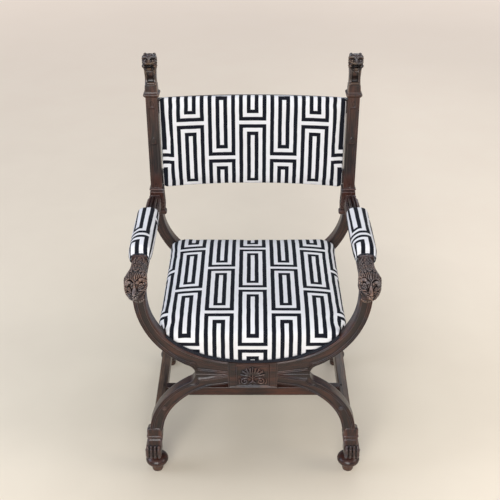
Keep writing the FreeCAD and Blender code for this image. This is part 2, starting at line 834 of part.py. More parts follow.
def seat_rail_tenon(extra=0):
    """The tenon at the front end of the right side rail, into the arch."""
    middle_x, middle_z = (seat_rail_inner + seat_rail_outer) / 2, seat_rail_bottom + seat_rail_height * 0.52
    return bar(grown(across(middle_x, tenon_thickness), extra),
               (frame_back - seat_rail_tenon_length - extra, frame_back),
               grown(across(middle_z, seat_rail_height * 0.36), extra))


def seat_rail():
    body = bar((seat_rail_inner, seat_rail_outer), (frame_back, rear_face), (seat_rail_bottom, seat_rail_top))
    screws = [screw(place, fit_gap) for place in corner_screw_places() if place[1].x]
    return cut(fused([body, seat_rail_tenon(), behind(seat_rail_tenon())]),
               screws + [behind(shape) for shape in screws])


def d_outline(gap, top):
    """The opening of the arches below a height, drawn in by a gap."""
    half, drop = arch_inner_half - gap, arch_inner_drop - gap
    share = (arm_level - top) / drop
    reach = half * (1 - share ** arch_inner_power) ** (1 / arch_inner_power)
    right = bow_points(half, -drop, arch_inner_power, arm_level, 0, reach)
    left = [point(-p.x, p.z) for p in reversed(right)]
    return [spline(left[:-1] + right), line(right[-1], left[0])]


def seat_board():
    """Front board shaped to the arches, which the front of the seat is upholstered on."""
    board = plank(d_outline(seat_board_gap, seat_rail_top), frame_back - seat_board_thickness, frame_back)
    screws = [screw(place, fit_gap) for place in corner_screw_places() if place[1].y]
    return cut(board, screws + [left_of(shape) for shape in screws])


def corner_block_middle_z():
    return seat_rail_top - corner_block_height / 2 - webbing_thickness


def corner_block():
    """Glued block in the front right corner of the seat frame, bevelled across its inner side."""
    x, y, leg_length = seat_rail_inner, frame_back, corner_block_leg
    bevel = leg_length * 0.35
    z = corner_block_middle_z() - corner_block_height / 2
    outline = [V(x, y, z), V(x, y + leg_length, z), V(x - bevel, y + leg_length, z),
               V(x - leg_length, y + bevel, z), V(x - leg_length, y, z)]
    body = slab(polygon(outline), V(0, 0, corner_block_height))
    return cut(body, [screw(place, fit_gap) for place in corner_screw_places()])


def corner_screw_places():
    """Head and direction of the screws of the front right corner block: into the rail and the board."""
    z = corner_block_middle_z()
    bevel = corner_block_leg * 0.35
    return ((V(seat_rail_inner - bevel, frame_back + corner_block_leg * 0.82, z), V(1, 0, 0)),
            (V(seat_rail_inner - corner_block_leg * 0.82, frame_back + bevel, z), V(0, -1, 0)))


def screw(place, extra=0):
    """A round-head wood screw whose head stands on the block."""
    head, way = place
    shank = rod(screw_radius + extra, head, head + way * (screw_length + extra))
    if extra:
        return shank.fuse(rod(screw_head_radius + extra, head, head - way * corner_block_leg))
    return shank.fuse(Part.makeCone(screw_head_radius, screw_head_radius * 0.6, screw_head_height, head,
                                    way * -1))


def corner_screws():
    front = [screw(place) for place in corner_screw_places()]
    right = front + [behind(shape) for shape in front]
    return group(right + [left_of(shape) for shape in right])


def seat_webbing():
    """Straps front to back under straps side to side, tacked on the rails."""
    side = seat_rail_outer
    straps = []
    front, back = frame_back - seat_board_thickness, rear_face + seat_board_thickness
    board_half = seat_rail_inner - corner_block_leg * 0.4
    step_x = 2 * board_half / webbing_count
    step_y = (rear_face - frame_back) / webbing_count
    for i in range(webbing_count):
        x = -board_half + step_x * (i + 0.5)
        straps.append(bar(across(x, webbing_width), (front, back),
                          (seat_rail_top, seat_rail_top + webbing_thickness)))
        y = frame_back + step_y * (i + 0.5)
        low = seat_rail_top + webbing_thickness
        straps.append(bar((-side, side), across(y, webbing_width), (low, low + webbing_thickness)))
    return group(straps)


def seat_hessian():
    """The cloth over the webbing that carries the stuffing."""
    return bar((-seat_rail_outer, seat_rail_outer), (frame_back, rear_face), (webbing_top, hessian_top))


def dust_cover():
    """Black cloth tacked under the seat frame."""
    return bar((-seat_rail_outer, seat_rail_outer), (frame_back + soft_gap, rear_face - soft_gap),
               (seat_rail_bottom - dust_cover_thickness, seat_rail_bottom))


# Seat upholstery

def cushion_ring(height, side_inset, end_inset):
    """An outline of the cushion at a height, drawn in at its sides and at its front and back."""
    front, back = frame_back + soft_gap, rear_face - soft_gap
    corner = seat_corner_radius + max(side_inset, end_inset) / 2
    return rounded(V(0, (front + back) / 2, height), V(1, 0, 0), V(0, 1, 0),
                   2 * (seat_half_width - side_inset), back - front - 2 * end_inset, corner)


def seat_cushion():
    """Stuffed top of the seat: sides bulged between drawn-in edges, round corners, crowned both ways."""
    low, edge, crown = hessian_top + soft_gap, seat_edge_height, seat_crown_height
    flat_share, count = 0.7, 4
    rings = []
    for i in range(count + 1):
        up = i / count
        rings.append(cushion_ring(low + (edge - low) * up, seat_side_draw * (2 * up - 1) ** 2, 0))
    for i in range(1, count + 1):
        inward = i / count
        inset = seat_half_width * flat_share * inward
        rings.append(cushion_ring(edge + (crown - edge) * (1 - (1 - inward) ** 2), seat_side_draw + inset,
                                  inset))
    return stacked(rings, True)


def front_pad():
    """Padded front of the seat inside the arch, rolled over at the top."""
    top, face, roll = seat_edge_height, front_pad_sink, front_pad_roll
    board_face = frame_back - seat_board_thickness - soft_gap
    low = block_top
    nip = roll * (1 - math.sqrt(0.5))
    ledge = seat_rail_top + webbing_thickness * 2 + hessian_thickness + soft_gap
    profile = [line(V(0, board_face, low), V(0, face, low)), line(V(0, face, low), V(0, face, top - roll)),
               arc(V(0, face, top - roll), V(0, face + nip, top - nip), V(0, face + roll, top)),
               line(V(0, face + roll, top), V(0, frame_back, top)),
               line(V(0, frame_back, top), V(0, frame_back, ledge)),
               line(V(0, frame_back, ledge), V(0, board_face, ledge)),
               line(V(0, board_face, ledge), V(0, board_face, low))]
    body = plank(d_outline(soft_gap, top), face, frame_back)
    return body.common(slab(profile, V(2 * arch_inner_half, 0, 0), V(-arch_inner_half, 0, 0)))


def side_pad():
    """Padding down the outer side of the right seat rail, bulged between its edges."""
    inner, low, high = seat_rail_outer, seat_rail_bottom + gimp_width, hessian_top
    outer = inner + side_pad_thickness
    edge = outer - side_pad_draw
    section = [line(point(inner, high), point(inner, low)), line(point(inner, low), point(edge, low)),
               arc(point(edge, low), point(outer, (low + high) / 2), point(edge, high)),
               line(point(edge, high), point(inner, high))]
    return plank(section, frame_back + soft_gap, rear_face - soft_gap)


def front_gimp():
    """Braid that covers the edge of the cloth all round the arch."""
    outer = d_outline(soft_gap, seat_edge_height)
    inner = d_outline(soft_gap + gimp_width, seat_edge_height + overrun)
    face = front_pad_sink
    ring = plank(outer, face - gimp_thickness, face)
    return ring.cut(plank(inner, face - gimp_thickness - overrun, face + overrun))


def side_gimp():
    """Braid along the lower edge of the cloth on the right seat rail."""
    return bar((seat_rail_outer, seat_rail_outer + gimp_thickness), (frame_back, rear_face),
               (seat_rail_bottom, seat_rail_bottom + gimp_width))


# Backrest

def back_rail_bottoms():
    """Heights of the lower edges of the two rails, before the back is leaned."""
    return back_bottom + back_rail_inset, back_top - back_rail_inset - back_rail_height


def back_rail_tenon(bottom, extra=0):
    """The right-hand tenon of a backrest rail, before the back is leaned."""
    inner = post_centre - post_width / 2
    middle_y = rear_face + post_depth - back_rail_thickness / 2
    return bar((inner - overrun, inner + back_rail_tenon_length + extra),
               grown(across(middle_y, back_rail_thickness * 0.55), extra),
               grown(across(bottom + back_rail_height / 2, back_rail_height * 0.6), extra))


def bowed(front_edge, back_edge, front_bow, back_bow_depth, bottom, height):
    """A layer between the posts, bowed back in plan, before the back is leaned."""
    half = post_centre - post_width / 2
    outline = [arc(V(-half, front_edge, bottom), V(0, front_edge + front_bow, bottom),
                   V(half, front_edge, bottom)),
               line(V(half, front_edge, bottom), V(half, back_edge, bottom)),
               arc(V(half, back_edge, bottom), V(0, back_edge + back_bow_depth, bottom),
                   V(-half, back_edge, bottom)),
               line(V(-half, back_edge, bottom), V(-half, front_edge, bottom))]
    return slab(outline, V(0, 0, height))


def back_cloth_limits():
    """How far the cloth of the backrest reaches towards the posts."""
    half = post_centre - post_block_width / 2 - back_edge_gap
    return -half, half


def rail_faces():
    """Depths of the front and the back of the backrest rails at the posts."""
    back = rear_face + post_depth
    return back - back_rail_thickness, back


def back_rail(bottom):
    front, back = rail_faces()
    body = bowed(front, back, back_bow, back_bow, bottom, back_rail_height)
    tenon = back_rail_tenon(bottom)
    return raked(fused([body, tenon, left_of(tenon)]))


def back_webbing():
    """Upright straps on the front of the two rails."""
    front = rail_faces()[0]
    low, high = back_rail_bottoms()[0], back_rail_bottoms()[1] + back_rail_height
    sheet = bowed(front - webbing_thickness, front, back_bow, back_bow, low, high - low)
    step = 2 * (post_centre - post_width / 2) / back_webbing_count
    straps = []
    for i in range(back_webbing_count):
        x = step * (i + 0.5 - back_webbing_count / 2)
        window = bar(across(x, webbing_width), (rear_face - back_bow, rear_back + 2 * back_bow), (low, high))
        straps.append(raked(sheet.common(window)))
    return group(straps)


def back_pad():
    """Upholstered front of the backrest: bowed with the rails, fuller in the middle, rolled at its edges."""
    front = rail_faces()[0] - webbing_thickness - soft_gap
    face = front - back_pad_edge
    body = bowed(face, front, back_bow - back_pad_crown, back_bow, back_bottom, back_top - back_bottom)
    roll, deepest = back_pad_roll, face - overrun
    behind_all = rear_back + 2 * back_bow
    profile = [V(0, behind_all, back_bottom), V(0, face + roll * 0.8, back_bottom),
               V(0, deepest, back_bottom + roll), V(0, deepest, back_top - roll),
               V(0, face + roll * 0.8, back_top), V(0, behind_all, back_top)]
    edges = slab(polygon(profile), V(2 * post_centre, 0, 0), V(-post_centre, 0, 0))
    between = bar(back_cloth_limits(), (rear_face - back_bow, behind_all), (back_bottom, back_top))
    return raked(body.common(edges).common(between))


def back_cover():
    """Cloth over the rear of the backrest, tacked to the rails."""
    back = rail_faces()[1]
    sheet = bowed(back, back + back_cover_thickness, back_bow, back_bow, back_bottom, back_top - back_bottom)
    return raked(sheet.common(bar(back_cloth_limits(), (rear_face, rear_back + 2 * back_bow),
                                  (back_bottom, back_top))))


# All pieces, laid out from the front face of the front frame

def pair(name, shape):
    """A right-hand piece and its left-hand twin."""
    return {name + "_right": shape, name + "_left": left_of(shape)}


def all_feet(shape):
    """A front right piece and its three twins."""
    back = moved(shape, y=frame_pitch)
    return {"front_right": shape, "front_left": left_of(shape),
            "rear_right": back, "rear_left": left_of(back)}


def front_frame():
    rails = [seat_rail_tenon(fit_gap)]
    arch_shape = cut(arch(front_arch_top), rails + [arm_dowel(fit_gap)])
    leg_shape = cut(leg(), [side_tenon(fit_gap), stretcher_housing()])
    nodes = {"front_centre_block": centre_block(True), "front_carved_panel": carved_panel()}
    nodes.update(pair("front_arch", arch_shape))
    nodes.update(pair("front_leg", leg_shape))
    return nodes


def rear_frame():
    rails = [moved(behind(seat_rail_tenon(fit_gap)), y=-frame_pitch)]
    arch_shape = moved(cut(arch(rear_arch_top), rails), y=frame_pitch)
    arch_shape = cut(arch_shape, [post_tenon(fit_gap)])
    leg_shape = cut(moved(leg(), y=frame_pitch), [behind(side_tenon(fit_gap)), behind(stretcher_housing())])
    nodes = {"rear_centre_block": moved(centre_block(False), y=frame_pitch)}
    nodes.update(pair("rear_arch", arch_shape))
    nodes.update(pair("rear_leg", leg_shape))
    return nodes


def four_frame_sets(shapes):
    """Small joinery pieces of the front right quarter, copied to both sides and both frames."""
    right = shapes + [moved(shape, y=frame_pitch) for shape in shapes]
    return group(right + [left_of(shape) for shape in right])


def chair():
    nodes = {}
    nodes.update(front_frame())
    nodes.update(rear_frame())
    nodes["frame_dowels"] = four_frame_sets(frame_dowels())
    nodes["leg_bosses"] = four_frame_sets([boss()])
    for place, shape in all_feet(foot_ball()).items():
        nodes["foot_ball_" + place] = shape
    for place, shape in all_feet(foot_peg()).items():
        nodes["foot_peg_" + place] = shape
    nodes.update(pair("side_stretcher", side_stretcher()))
    nodes["cross_stretcher"] = cross_stretcher()
    nodes["stretcher_pegs"] = group([stretcher_peg(), left_of(stretcher_peg())])
    nodes.update(pair("back_post", post()))
    nodes.update(pair("lion_finial", finial()))
    nodes["finial_dowels"] = group([raked(finial_dowel()), left_of(raked(finial_dowel()))])
    nodes.update(pair("arm_rail", arm_rail()))
    nodes.update(pair("arm_lion", arm_lion()))
    nodes["arm_dowels"] = group([arm_dowel(), left_of(arm_dowel())])
    nodes.update(pair("arm_pad", arm_pad()))
    nodes.update(pair("seat_rail", seat_rail()))
    nodes["seat_board_front"] = seat_board()
    nodes["seat_board_rear"] = behind(seat_board())
    block = corner_block()
    nodes["seat_corner_blocks"] = group([block, left_of(block), behind(block), left_of(behind(block))])
    nodes["corner_block_screws"] = corner_screws()
    nodes["seat_webbing"] = seat_webbing()
    nodes["seat_hessian"] = seat_hessian()
    nodes["seat_dust_cover"] = dust_cover()
    nodes["seat_cushion"] = seat_cushion()
    nodes["seat_pad_front"] = front_pad()
    nodes["seat_pad_rear"] = behind(front_pad())
    nodes.update(pair("seat_side_pad", side_pad()))
    nodes["seat_gimp_front"] = front_gimp()
    nodes["seat_gimp_rear"] = behind(front_gimp())
    nodes.update(pair("seat_gimp", side_gimp()))
    low, high = back_rail_bottoms()
    nodes["backrest_bottom_rail"] = back_rail(low)
    nodes["backrest_top_rail"] = back_rail(high)
    nodes["backrest_webbing"] = back_webbing()
    nodes["backrest_pad"] = back_pad()
    nodes["backrest_rear_cover"] = back_cover()
    return nodes


def main():
    os.makedirs("parts", exist_ok=True)
    nodes = chair()
    bounds = FreeCAD.BoundBox()
    for shape in nodes.values():
        bounds.add(shape.optimalBoundingBox())
    centred = V(0, -(bounds.YMin + bounds.YMax) / 2, 0)
    for name, shape in nodes.items():
        shape.translate(centred)
        shape.exportStep(os.path.join("parts", name + ".step"))
    print(len(nodes), "pieces,", "width %.1f depth %.1f height %.1f"
          % (bounds.XLength, bounds.YLength, bounds.ZLength))


main()
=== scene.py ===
# %% [markdown]
# This notebook dresses an old walnut armchair of the savonarola kind: crossed arches, lion heads, paw feet and
# stuffed upholstery. The joiner's pieces come in as a packed frame in metres, with +Z up and the front at -Y.
# Each carved piece is then worked out again as a surface with its mouldings, and takes the place of the plain
# solid. Everything below is written in millimetres and scaled once, when a mesh is made.

# %% Load the frame
import bpy
import numpy as np
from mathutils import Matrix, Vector


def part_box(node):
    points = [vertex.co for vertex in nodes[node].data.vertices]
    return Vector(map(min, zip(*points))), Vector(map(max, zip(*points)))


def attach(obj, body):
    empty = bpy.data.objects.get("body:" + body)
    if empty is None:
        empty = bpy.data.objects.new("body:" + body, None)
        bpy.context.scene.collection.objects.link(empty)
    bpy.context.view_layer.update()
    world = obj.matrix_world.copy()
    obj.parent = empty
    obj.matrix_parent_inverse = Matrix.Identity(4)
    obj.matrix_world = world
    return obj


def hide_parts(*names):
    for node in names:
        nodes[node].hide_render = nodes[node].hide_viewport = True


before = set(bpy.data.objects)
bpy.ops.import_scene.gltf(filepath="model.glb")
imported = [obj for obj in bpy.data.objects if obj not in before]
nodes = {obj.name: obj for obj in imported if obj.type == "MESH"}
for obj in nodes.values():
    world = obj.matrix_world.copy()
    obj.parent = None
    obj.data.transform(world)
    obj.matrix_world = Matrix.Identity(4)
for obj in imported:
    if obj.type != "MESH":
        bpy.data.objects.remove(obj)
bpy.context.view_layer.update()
front_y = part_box("front_arch_right")[0].y * 1000
print(len(nodes), "solids, front face of the front frame at", round(front_y, 1), "mm")

# %% [markdown]
# A carved surface is a function of two parameters. The first runs along the piece and the second round it, so
# that a whole chair leg is one array of rings. Two small tools draw such arrays: one eases a few measured rows
# into a smooth run of rows, the other walks along a line of points at given shares of its length.

# %% Rows and lines
def eased(table, t):
    """Rows of values at t from a few rows (t, values...): cubic pieces that share a slope where they meet."""
    table = np.asarray(table, float)
    x, y = table[:, 0], table[:, 1:]
    slope = np.gradient(y, x, axis=0)
    i = np.clip(np.searchsorted(x, t, side="right") - 1, 0, len(x) - 2)
    w = (x[i + 1] - x[i])[:, None]
    s = (np.asarray(t) - x[i])[:, None] / w
    return ((1 + 2 * s) * (1 - s) ** 2 * y[i] + s * (1 - s) ** 2 * w * slope[i]
            + s * s * (3 - 2 * s) * y[i + 1] + s * s * (s - 1) * w * slope[i + 1])


def running(line):
    """Length from the first point of a line to each of its points: the running sum of the steps between them."""
    return np.concatenate([[0], np.cumsum(np.linalg.norm(np.diff(line, axis=0), axis=1))])


def read_at(at, run, values):
    """Columns of values that belong to lengths run, read in straight lines at other lengths."""
    return np.stack([np.interp(at, run, column) for column in np.asarray(values, float).T], -1)


def walked(line, shares):
    """Points at shares of a line's length: each coordinate read off against the running length."""
    run = running(line)
    return read_at(shares * run[-1], run, line)


def curve(points, count=24):
    """A smooth line through a few points: eased over their running length."""
    run = running(points)
    return eased(np.column_stack([run, points]), np.linspace(0, run[-1], count))


def step(x, low, high):
    """0 below low, 1 above high and 3t^2 - 2t^3 between."""
    t = np.clip((x - low) / (high - low), 0, 1)
    return t * t * (3 - 2 * t)


def xyz(*coordinates):
    """One array from coordinates whose shapes fit each other, such as a column, a row, a grid or a number."""
    return np.stack(np.broadcast_arrays(*coordinates), -1)


print("curve check:", curve([(0, 0), (1, 1), (2, 0)], 3).round(2).tolist())

# %% [markdown]
# A ring of a squared piece, such as a post or a rail, has four straight sides and four round corners. The ring
# is kept as shares of its half widths and its corner radius, so that one set of numbers fits every size.

# %% Rings
def ring_shares(side, corner):
    """Four numbers a point: shares of the half widths less the radius, and of the radius, round a square."""
    turn = np.arange(corner + 1) / corner * np.pi / 2
    run = np.linspace(-1, 1, side + 2)[1:-1]
    parts = [np.concatenate([xyz(1.0, run, 1.0, 0.0), xyz(1.0, 1.0, np.cos(turn), np.sin(turn))])]
    for _ in range(3):
        parts.append(parts[-1][:, [1, 0, 3, 2]] * (-1, 1, -1, 1))
    return np.concatenate(parts)


def squared(half_a, half_b, radius, side=12, corner=4):
    """Rounded squares, one ring a row, as two arrays: share * (half width - radius) + share * radius."""
    half_a, half_b, radius = (np.reshape(v, (-1, 1)) for v in (half_a, half_b, radius))
    a, b, round_a, round_b = ring_shares(side, corner).T
    return a * (half_a - radius) + round_a * radius, b * (half_b - radius) + round_b * radius


def oval(count, power=2.0):
    """Unit superellipse: cos and sin, each to the power 2/power with its sign kept, starting at the top."""
    a = np.arange(count) / count * 2 * np.pi
    c, s = np.cos(a), np.sin(a)
    return np.sign(s) * np.abs(s) ** (2 / power), np.sign(c) * np.abs(c) ** (2 / power)


print("points round a squared ring:", len(ring_shares(12, 4)))

# %% [markdown]
# The rings become a closed skin: a four-sided face between each pair of neighbours and a fan of triangles over
# each end. A chisel's work is laid on before that, as strokes. A stroke is a line that lies on the surface
# with a half width and a height, and each point near it is lifted along its normal. Where strokes meet, the
# taller one wins, which leaves the sharp valleys of carved leaves and locks of mane. The strokes of a piece are
# kept as rows of a table: how many points, the few measured ones, half width, height, and how it tapers.

# %% Skins and chisel strokes
def skin(rings, grain=None):
    """A closed shell: faces between rings (rows, around, 3), and a fan from each end ring to its mean point."""
    rows, around = rings.shape[:2]
    i, j = np.mgrid[:rows - 1, :around]
    k = (j + 1) % around
    quads = xyz(i * around + j, i * around + k, (i + 1) * around + k, (i + 1) * around + j)
    j = np.arange(around)
    k, last, middle = (j + 1) % around, (rows - 1) * around, rows * around
    tris = np.concatenate([xyz(middle, k, j), xyz(middle + 1, last + j, last + k)])

    def closed(a):
        return np.concatenate([a.reshape(rows * around, -1), a[[0, -1]].mean(1).reshape(2, -1)])

    return {"co": closed(rings), "quads": quads.reshape(-1, 4), "tris": tris,
            "grain": closed(rings if grain is None else grain)}


def normals(rings):
    """Unit normals of rings: the cross product of neighbour differences, turned away from each ring's middle."""
    n = np.cross(np.gradient(rings, axis=0), np.roll(rings, -1, 1) - np.roll(rings, 1, 1))
    n /= np.linalg.norm(n, axis=2, keepdims=True) + 1e-9
    return n * np.sign((n * (rings - rings.mean(1, keepdims=True))).sum(2).mean())


def lifts(points, strokes):
    """Lift of each point: the largest height * sqrt(1 - (distance / half width)^2) over the strokes' points.
    A stroke of negative height is a groove, and the deepest groove is added to the tallest ridge."""
    up, down = np.zeros(len(points)), np.zeros(len(points))
    for line, half, height in strokes:
        half, height = np.broadcast_to(half, len(line)), np.broadcast_to(height, len(line))
        reach = half.max()
        near = np.flatnonzero(((points > line.min(0) - reach) & (points < line.max(0) + reach)).all(1))
        gap = np.linalg.norm(points[near, None] - line[None], axis=2) / half
        lift = height * np.sqrt(np.clip(1 - gap ** 2, 0, 1))
        up[near] = np.maximum(up[near], lift.max(1))
        down[near] = np.minimum(down[near], lift.min(1))
    return up + down


def carved(rings, strokes):
    """The rings with every point moved along its normal by its lift."""
    return rings + normals(rings) * lifts(rings.reshape(-1, 3), strokes).reshape(rings.shape[:2])[..., None]


def tapered(line, half, height, start=0.5, end=0.15):
    """A stroke that swells from start to its full size a third of the way along, and thins to end."""
    t = np.linspace(0, 1, len(line))
    swell = np.interp(t, [0, 0.35, 1], [start, 1, end])
    return line, half * swell, height * np.sqrt(swell)


def drawn(rows, place=lambda line, way: line, ways=(1,)):
    """Strokes from rows of (count, points, half width, height) and, where a stroke tapers, its start and end. A
    smooth line of count points runs through them, and place sets it on the piece, once for each of the ways."""
    strokes = []
    for count, points, half, height, *ends in rows:
        line = curve(points, count) if count else np.array(points, float)
        for on in [place(line, way) for way in ways]:
            strokes.append(tapered(on, half, height, *ends) if ends else (on, half, height))
    return strokes


def bump(x, middle, half):
    """An arch over middle: sqrt(1 - ((x - middle) / half)^2), and 0 beyond it."""
    return np.sqrt(np.clip(1 - ((x - middle) / half) ** 2, 0, 1))


def as_drawn(shells):
    return shells


def mirrored(shells):
    """The left twin of a right-hand shell."""
    return [dict(s, co=s["co"] * (-1, 1, 1)) for s in shells]


frame_depth = 507


def behind(shells):
    """The rear frame's twin of a front shell, facing the other way."""
    return [dict(s, co=s["co"] * (1, -1, 1) + (0, frame_depth, 0)) for s in shells]


sides = {"right": as_drawn, "left": mirrored}
frames = {"front": as_drawn, "rear": behind}
print("twins of a shell:", [f"{row}_{side}" for row in frames for side in sides])

# %% [markdown]
# Old polish wears through where hands and cloths rub, and the wood finish paints those edges lighter, partly as
# wear and partly as a painted highlight. It paints the hollows darker, as dark wax and painted shade. Both places
# can be found from the shape: a point that stands out from the mean of its neighbours is on an edge, and one that
# lies behind it is in a hollow. That number is stored on each vertex for the wood finish to read.

# %% Meshes that know their edges and hollows
def read_points(mesh, what="co"):
    """Places or normals of a mesh's vertices, one row each."""
    values = np.empty(len(mesh.vertices) * 3, np.float32)
    mesh.vertices.foreach_get(what, values)
    return values.reshape(-1, 3).astype(float)


def edges_of(mesh):
    """Both end vertices of every edge, and how many edges meet in each vertex."""
    ends = np.empty(len(mesh.edges) * 2, np.int32)
    mesh.edges.foreach_get("vertices", ends)
    return *ends.reshape(-1, 2).T, np.maximum(np.bincount(ends, minlength=len(mesh.vertices)), 1)


def neighbour_mean(values, a, b, degree):
    """Mean over a vertex's neighbours: the values at the far ends of its edges, summed and divided."""
    return np.stack([(np.bincount(a, v[b], len(degree)) + np.bincount(b, v[a], len(degree))) / degree
                     for v in values.T], -1)


def worn(mesh):
    """Curvature in 1/mm, positive on edges: (point - mean of neighbours) . normal / edge length squared,
    averaged over neighbours until it reaches about 2 mm, and squeezed into -1..1 by tanh."""
    co, (a, b, degree) = read_points(mesh) * 1000, edges_of(mesh)
    length = np.linalg.norm(co[a] - co[b], axis=1)
    size = (np.bincount(a, length, len(co)) + np.bincount(b, length, len(co))) / degree
    bend = (co - neighbour_mean(co, a, b, degree)) * read_points(mesh, "normal")
    bend = (bend.sum(1) / np.maximum(size, 0.2) ** 2)[:, None]
    for _ in range(int(np.clip((1.6 / np.median(size)) ** 2, 1, 10))):
        bend = (bend + neighbour_mean(bend, a, b, degree)) / 2
    return np.tanh(bend[:, 0] * 6)


def put(name, shells, paint, *stands_for, slot="walnut", smooth=50, edges=True):
    """One piece from closed shells: each shell turned outwards by its signed volume, then joined and scaled."""
    co, grain, corners, sizes, shift = [], [], [], [], 0
    for s in shells:
        middle = s["co"].mean(0)
        tri = np.concatenate([s["tris"], s["quads"][:, :3], s["quads"][:, [0, 2, 3]]])
        p, q, r = (s["co"][tri] - middle).transpose(1, 0, 2)
        way = slice(None, None, 1 if (p * np.cross(q, r)).sum() > 0 else -1)
        corners += [s["quads"][:, way].ravel() + shift, s["tris"][:, way].ravel() + shift]
        sizes += [np.full(len(s["quads"]), 4), np.full(len(s["tris"]), 3)]
        co.append(s["co"])
        grain.append(s["grain"])
        shift += len(s["co"])
    co, grain = np.concatenate(co), np.concatenate(grain)
    corners, sizes = np.concatenate(corners), np.concatenate(sizes)
    mesh = bpy.data.meshes.new(name)
    mesh.vertices.add(len(co))
    mesh.vertices.foreach_set("co", ((co + (0, front_y, 0)) / 1000).ravel())
    mesh.loops.add(len(corners))
    mesh.loops.foreach_set("vertex_index", corners)
    mesh.polygons.add(len(sizes))
    mesh.polygons.foreach_set("loop_start", np.concatenate([[0], np.cumsum(sizes)[:-1]]))
    mesh.update(calc_edges=True)
    mesh.attributes.new("grain", "FLOAT_VECTOR", "POINT").data.foreach_set("vector", (grain / 1000).ravel())
    if edges:
        mesh.attributes.new("worn", "FLOAT", "POINT").data.foreach_set("value", worn(mesh))
    mesh.shade_smooth()
    mesh.set_sharp_from_angle(angle=np.radians(smooth))
    mesh.materials.append(paint)
    piece = bpy.data.objects.new(name, mesh)
    bpy.context.scene.collection.objects.link(piece)
    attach(piece, "root")
    if stands_for:
        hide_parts(*stands_for)
    print(name, len(sizes), "faces")
    return piece

# %% [markdown]
# A finish is a net of shader nodes. Written as Python sums it reads like what it does: a small class wraps a
# socket, and each operator on it adds one Math node. Every other node comes from one method, which takes the
# node's type, its settings and what goes into its sockets.

# %% Sums on sockets
class Num:
    """A number that varies over the surface; each operator adds a Math node to its finish."""

    def __init__(self, finish, socket):
        self.finish, self.socket = finish, socket

    def by(self, operation, other=0.0, turned=False):
        pair = (other, self) if turned else (self, other)
        made = self.finish.node("ShaderNodeMath", {"operation": operation}, {0: pair[0], 1: pair[1]})
        return Num(self.finish, made.outputs[0])

    def __add__(self, other): return self.by("ADD", other)
    def __sub__(self, other): return self.by("SUBTRACT", other)
    def __rsub__(self, other): return self.by("SUBTRACT", other, True)
    def __mul__(self, other): return self.by("MULTIPLY", other)
    def __truediv__(self, other): return self.by("DIVIDE", other)
    def __mod__(self, other): return self.by("FLOORED_MODULO", other)
    def __gt__(self, other): return self.by("GREATER_THAN", other)
    def __abs__(self): return self.by("ABSOLUTE")
    def least(self, other): return self.by("MINIMUM", other)
    def most(self, other): return self.by("MAXIMUM", other)
    __radd__, __rmul__ = __add__, __mul__

    def between(self, low, high):
        """0 at low, 1 at high, straight between and flat beyond."""
        return ((self - low) * (1 / (high - low))).most(0).least(1)


class Finish:
    """A material with one Principled shader, whose steady values are set on the shader's own sockets."""

    def __init__(self, name, **steady):
        self.material = bpy.data.materials.new(name)
        self.material.use_nodes = True
        self.tree = self.material.node_tree
        self.shader = self.tree.nodes["Principled BSDF"]
        for socket, value in steady.items():
            self.shader.inputs[socket.replace("_", " ")].default_value = value

    def node(self, kind, settings={}, values={}):
        made = self.tree.nodes.new(kind)
        for name, value in settings.items():
            if name == "stops":
                stops = made.color_ramp.elements
                while len(stops) < len(value):
                    stops.new(0.5)
                for stop, (place, colour) in zip(stops, value):
                    stop.position, stop.color = place, (*colour, 1)
            else:
                setattr(made, name, value)
        for socket, value in values.items():
            self.feed(made.inputs[socket], value)
        return made

    def feed(self, socket, value):
        value = value.socket if isinstance(value, Num) else value
        if isinstance(value, bpy.types.NodeSocket):
            self.tree.links.new(value, socket)
        else:
            socket.default_value = (*value, 1) if isinstance(value, tuple) and socket.type == "RGBA" else value

    def out(self, socket, value):
        self.feed(self.shader.inputs[socket], value)

    def attribute(self, name, vector=False):
        made = self.node("ShaderNodeAttribute", {"attribute_name": name})
        return made.outputs["Vector"] if vector else Num(self, made.outputs["Fac"])

    def place(self):
        return self.node("ShaderNodeTexCoord").outputs["Object"]

    def stretched(self, vector, x, y, z):
        return self.node("ShaderNodeVectorMath", {"operation": "MULTIPLY"}, {0: vector, 1: (x, y, z)}).outputs[0]

    def parts(self, vector):
        return [Num(self, s) for s in self.node("ShaderNodeSeparateXYZ", {}, {0: vector}).outputs]

    def noise(self, vector, scale=1.0, detail=2.0, rough=0.5):
        made = self.node("ShaderNodeTexNoise", {}, {"Vector": vector, "Scale": scale, "Detail": detail,
                                                    "Roughness": rough})
        return Num(self, made.outputs["Fac"])

    def ramp(self, value, *stops):
        return self.node("ShaderNodeValToRGB", {"stops": stops}, {0: value}).outputs["Color"]

    def mix(self, share, first, second, blend="MIX"):
        return self.node("ShaderNodeMix", {"data_type": "RGBA", "blend_type": blend},
                         {0: share, 6: first, 7: second}).outputs[2]

    def bump(self, height, distance, strength=1.0, under=None):
        made = self.node("ShaderNodeBump", {}, {"Height": height, "Distance": distance, "Strength": strength})
        if under is not None:
            self.feed(made.inputs["Normal"], under)
        return made.outputs["Normal"]


print("operators:", [n for n in vars(Num) if n.startswith("__") and "math" not in n][4:])
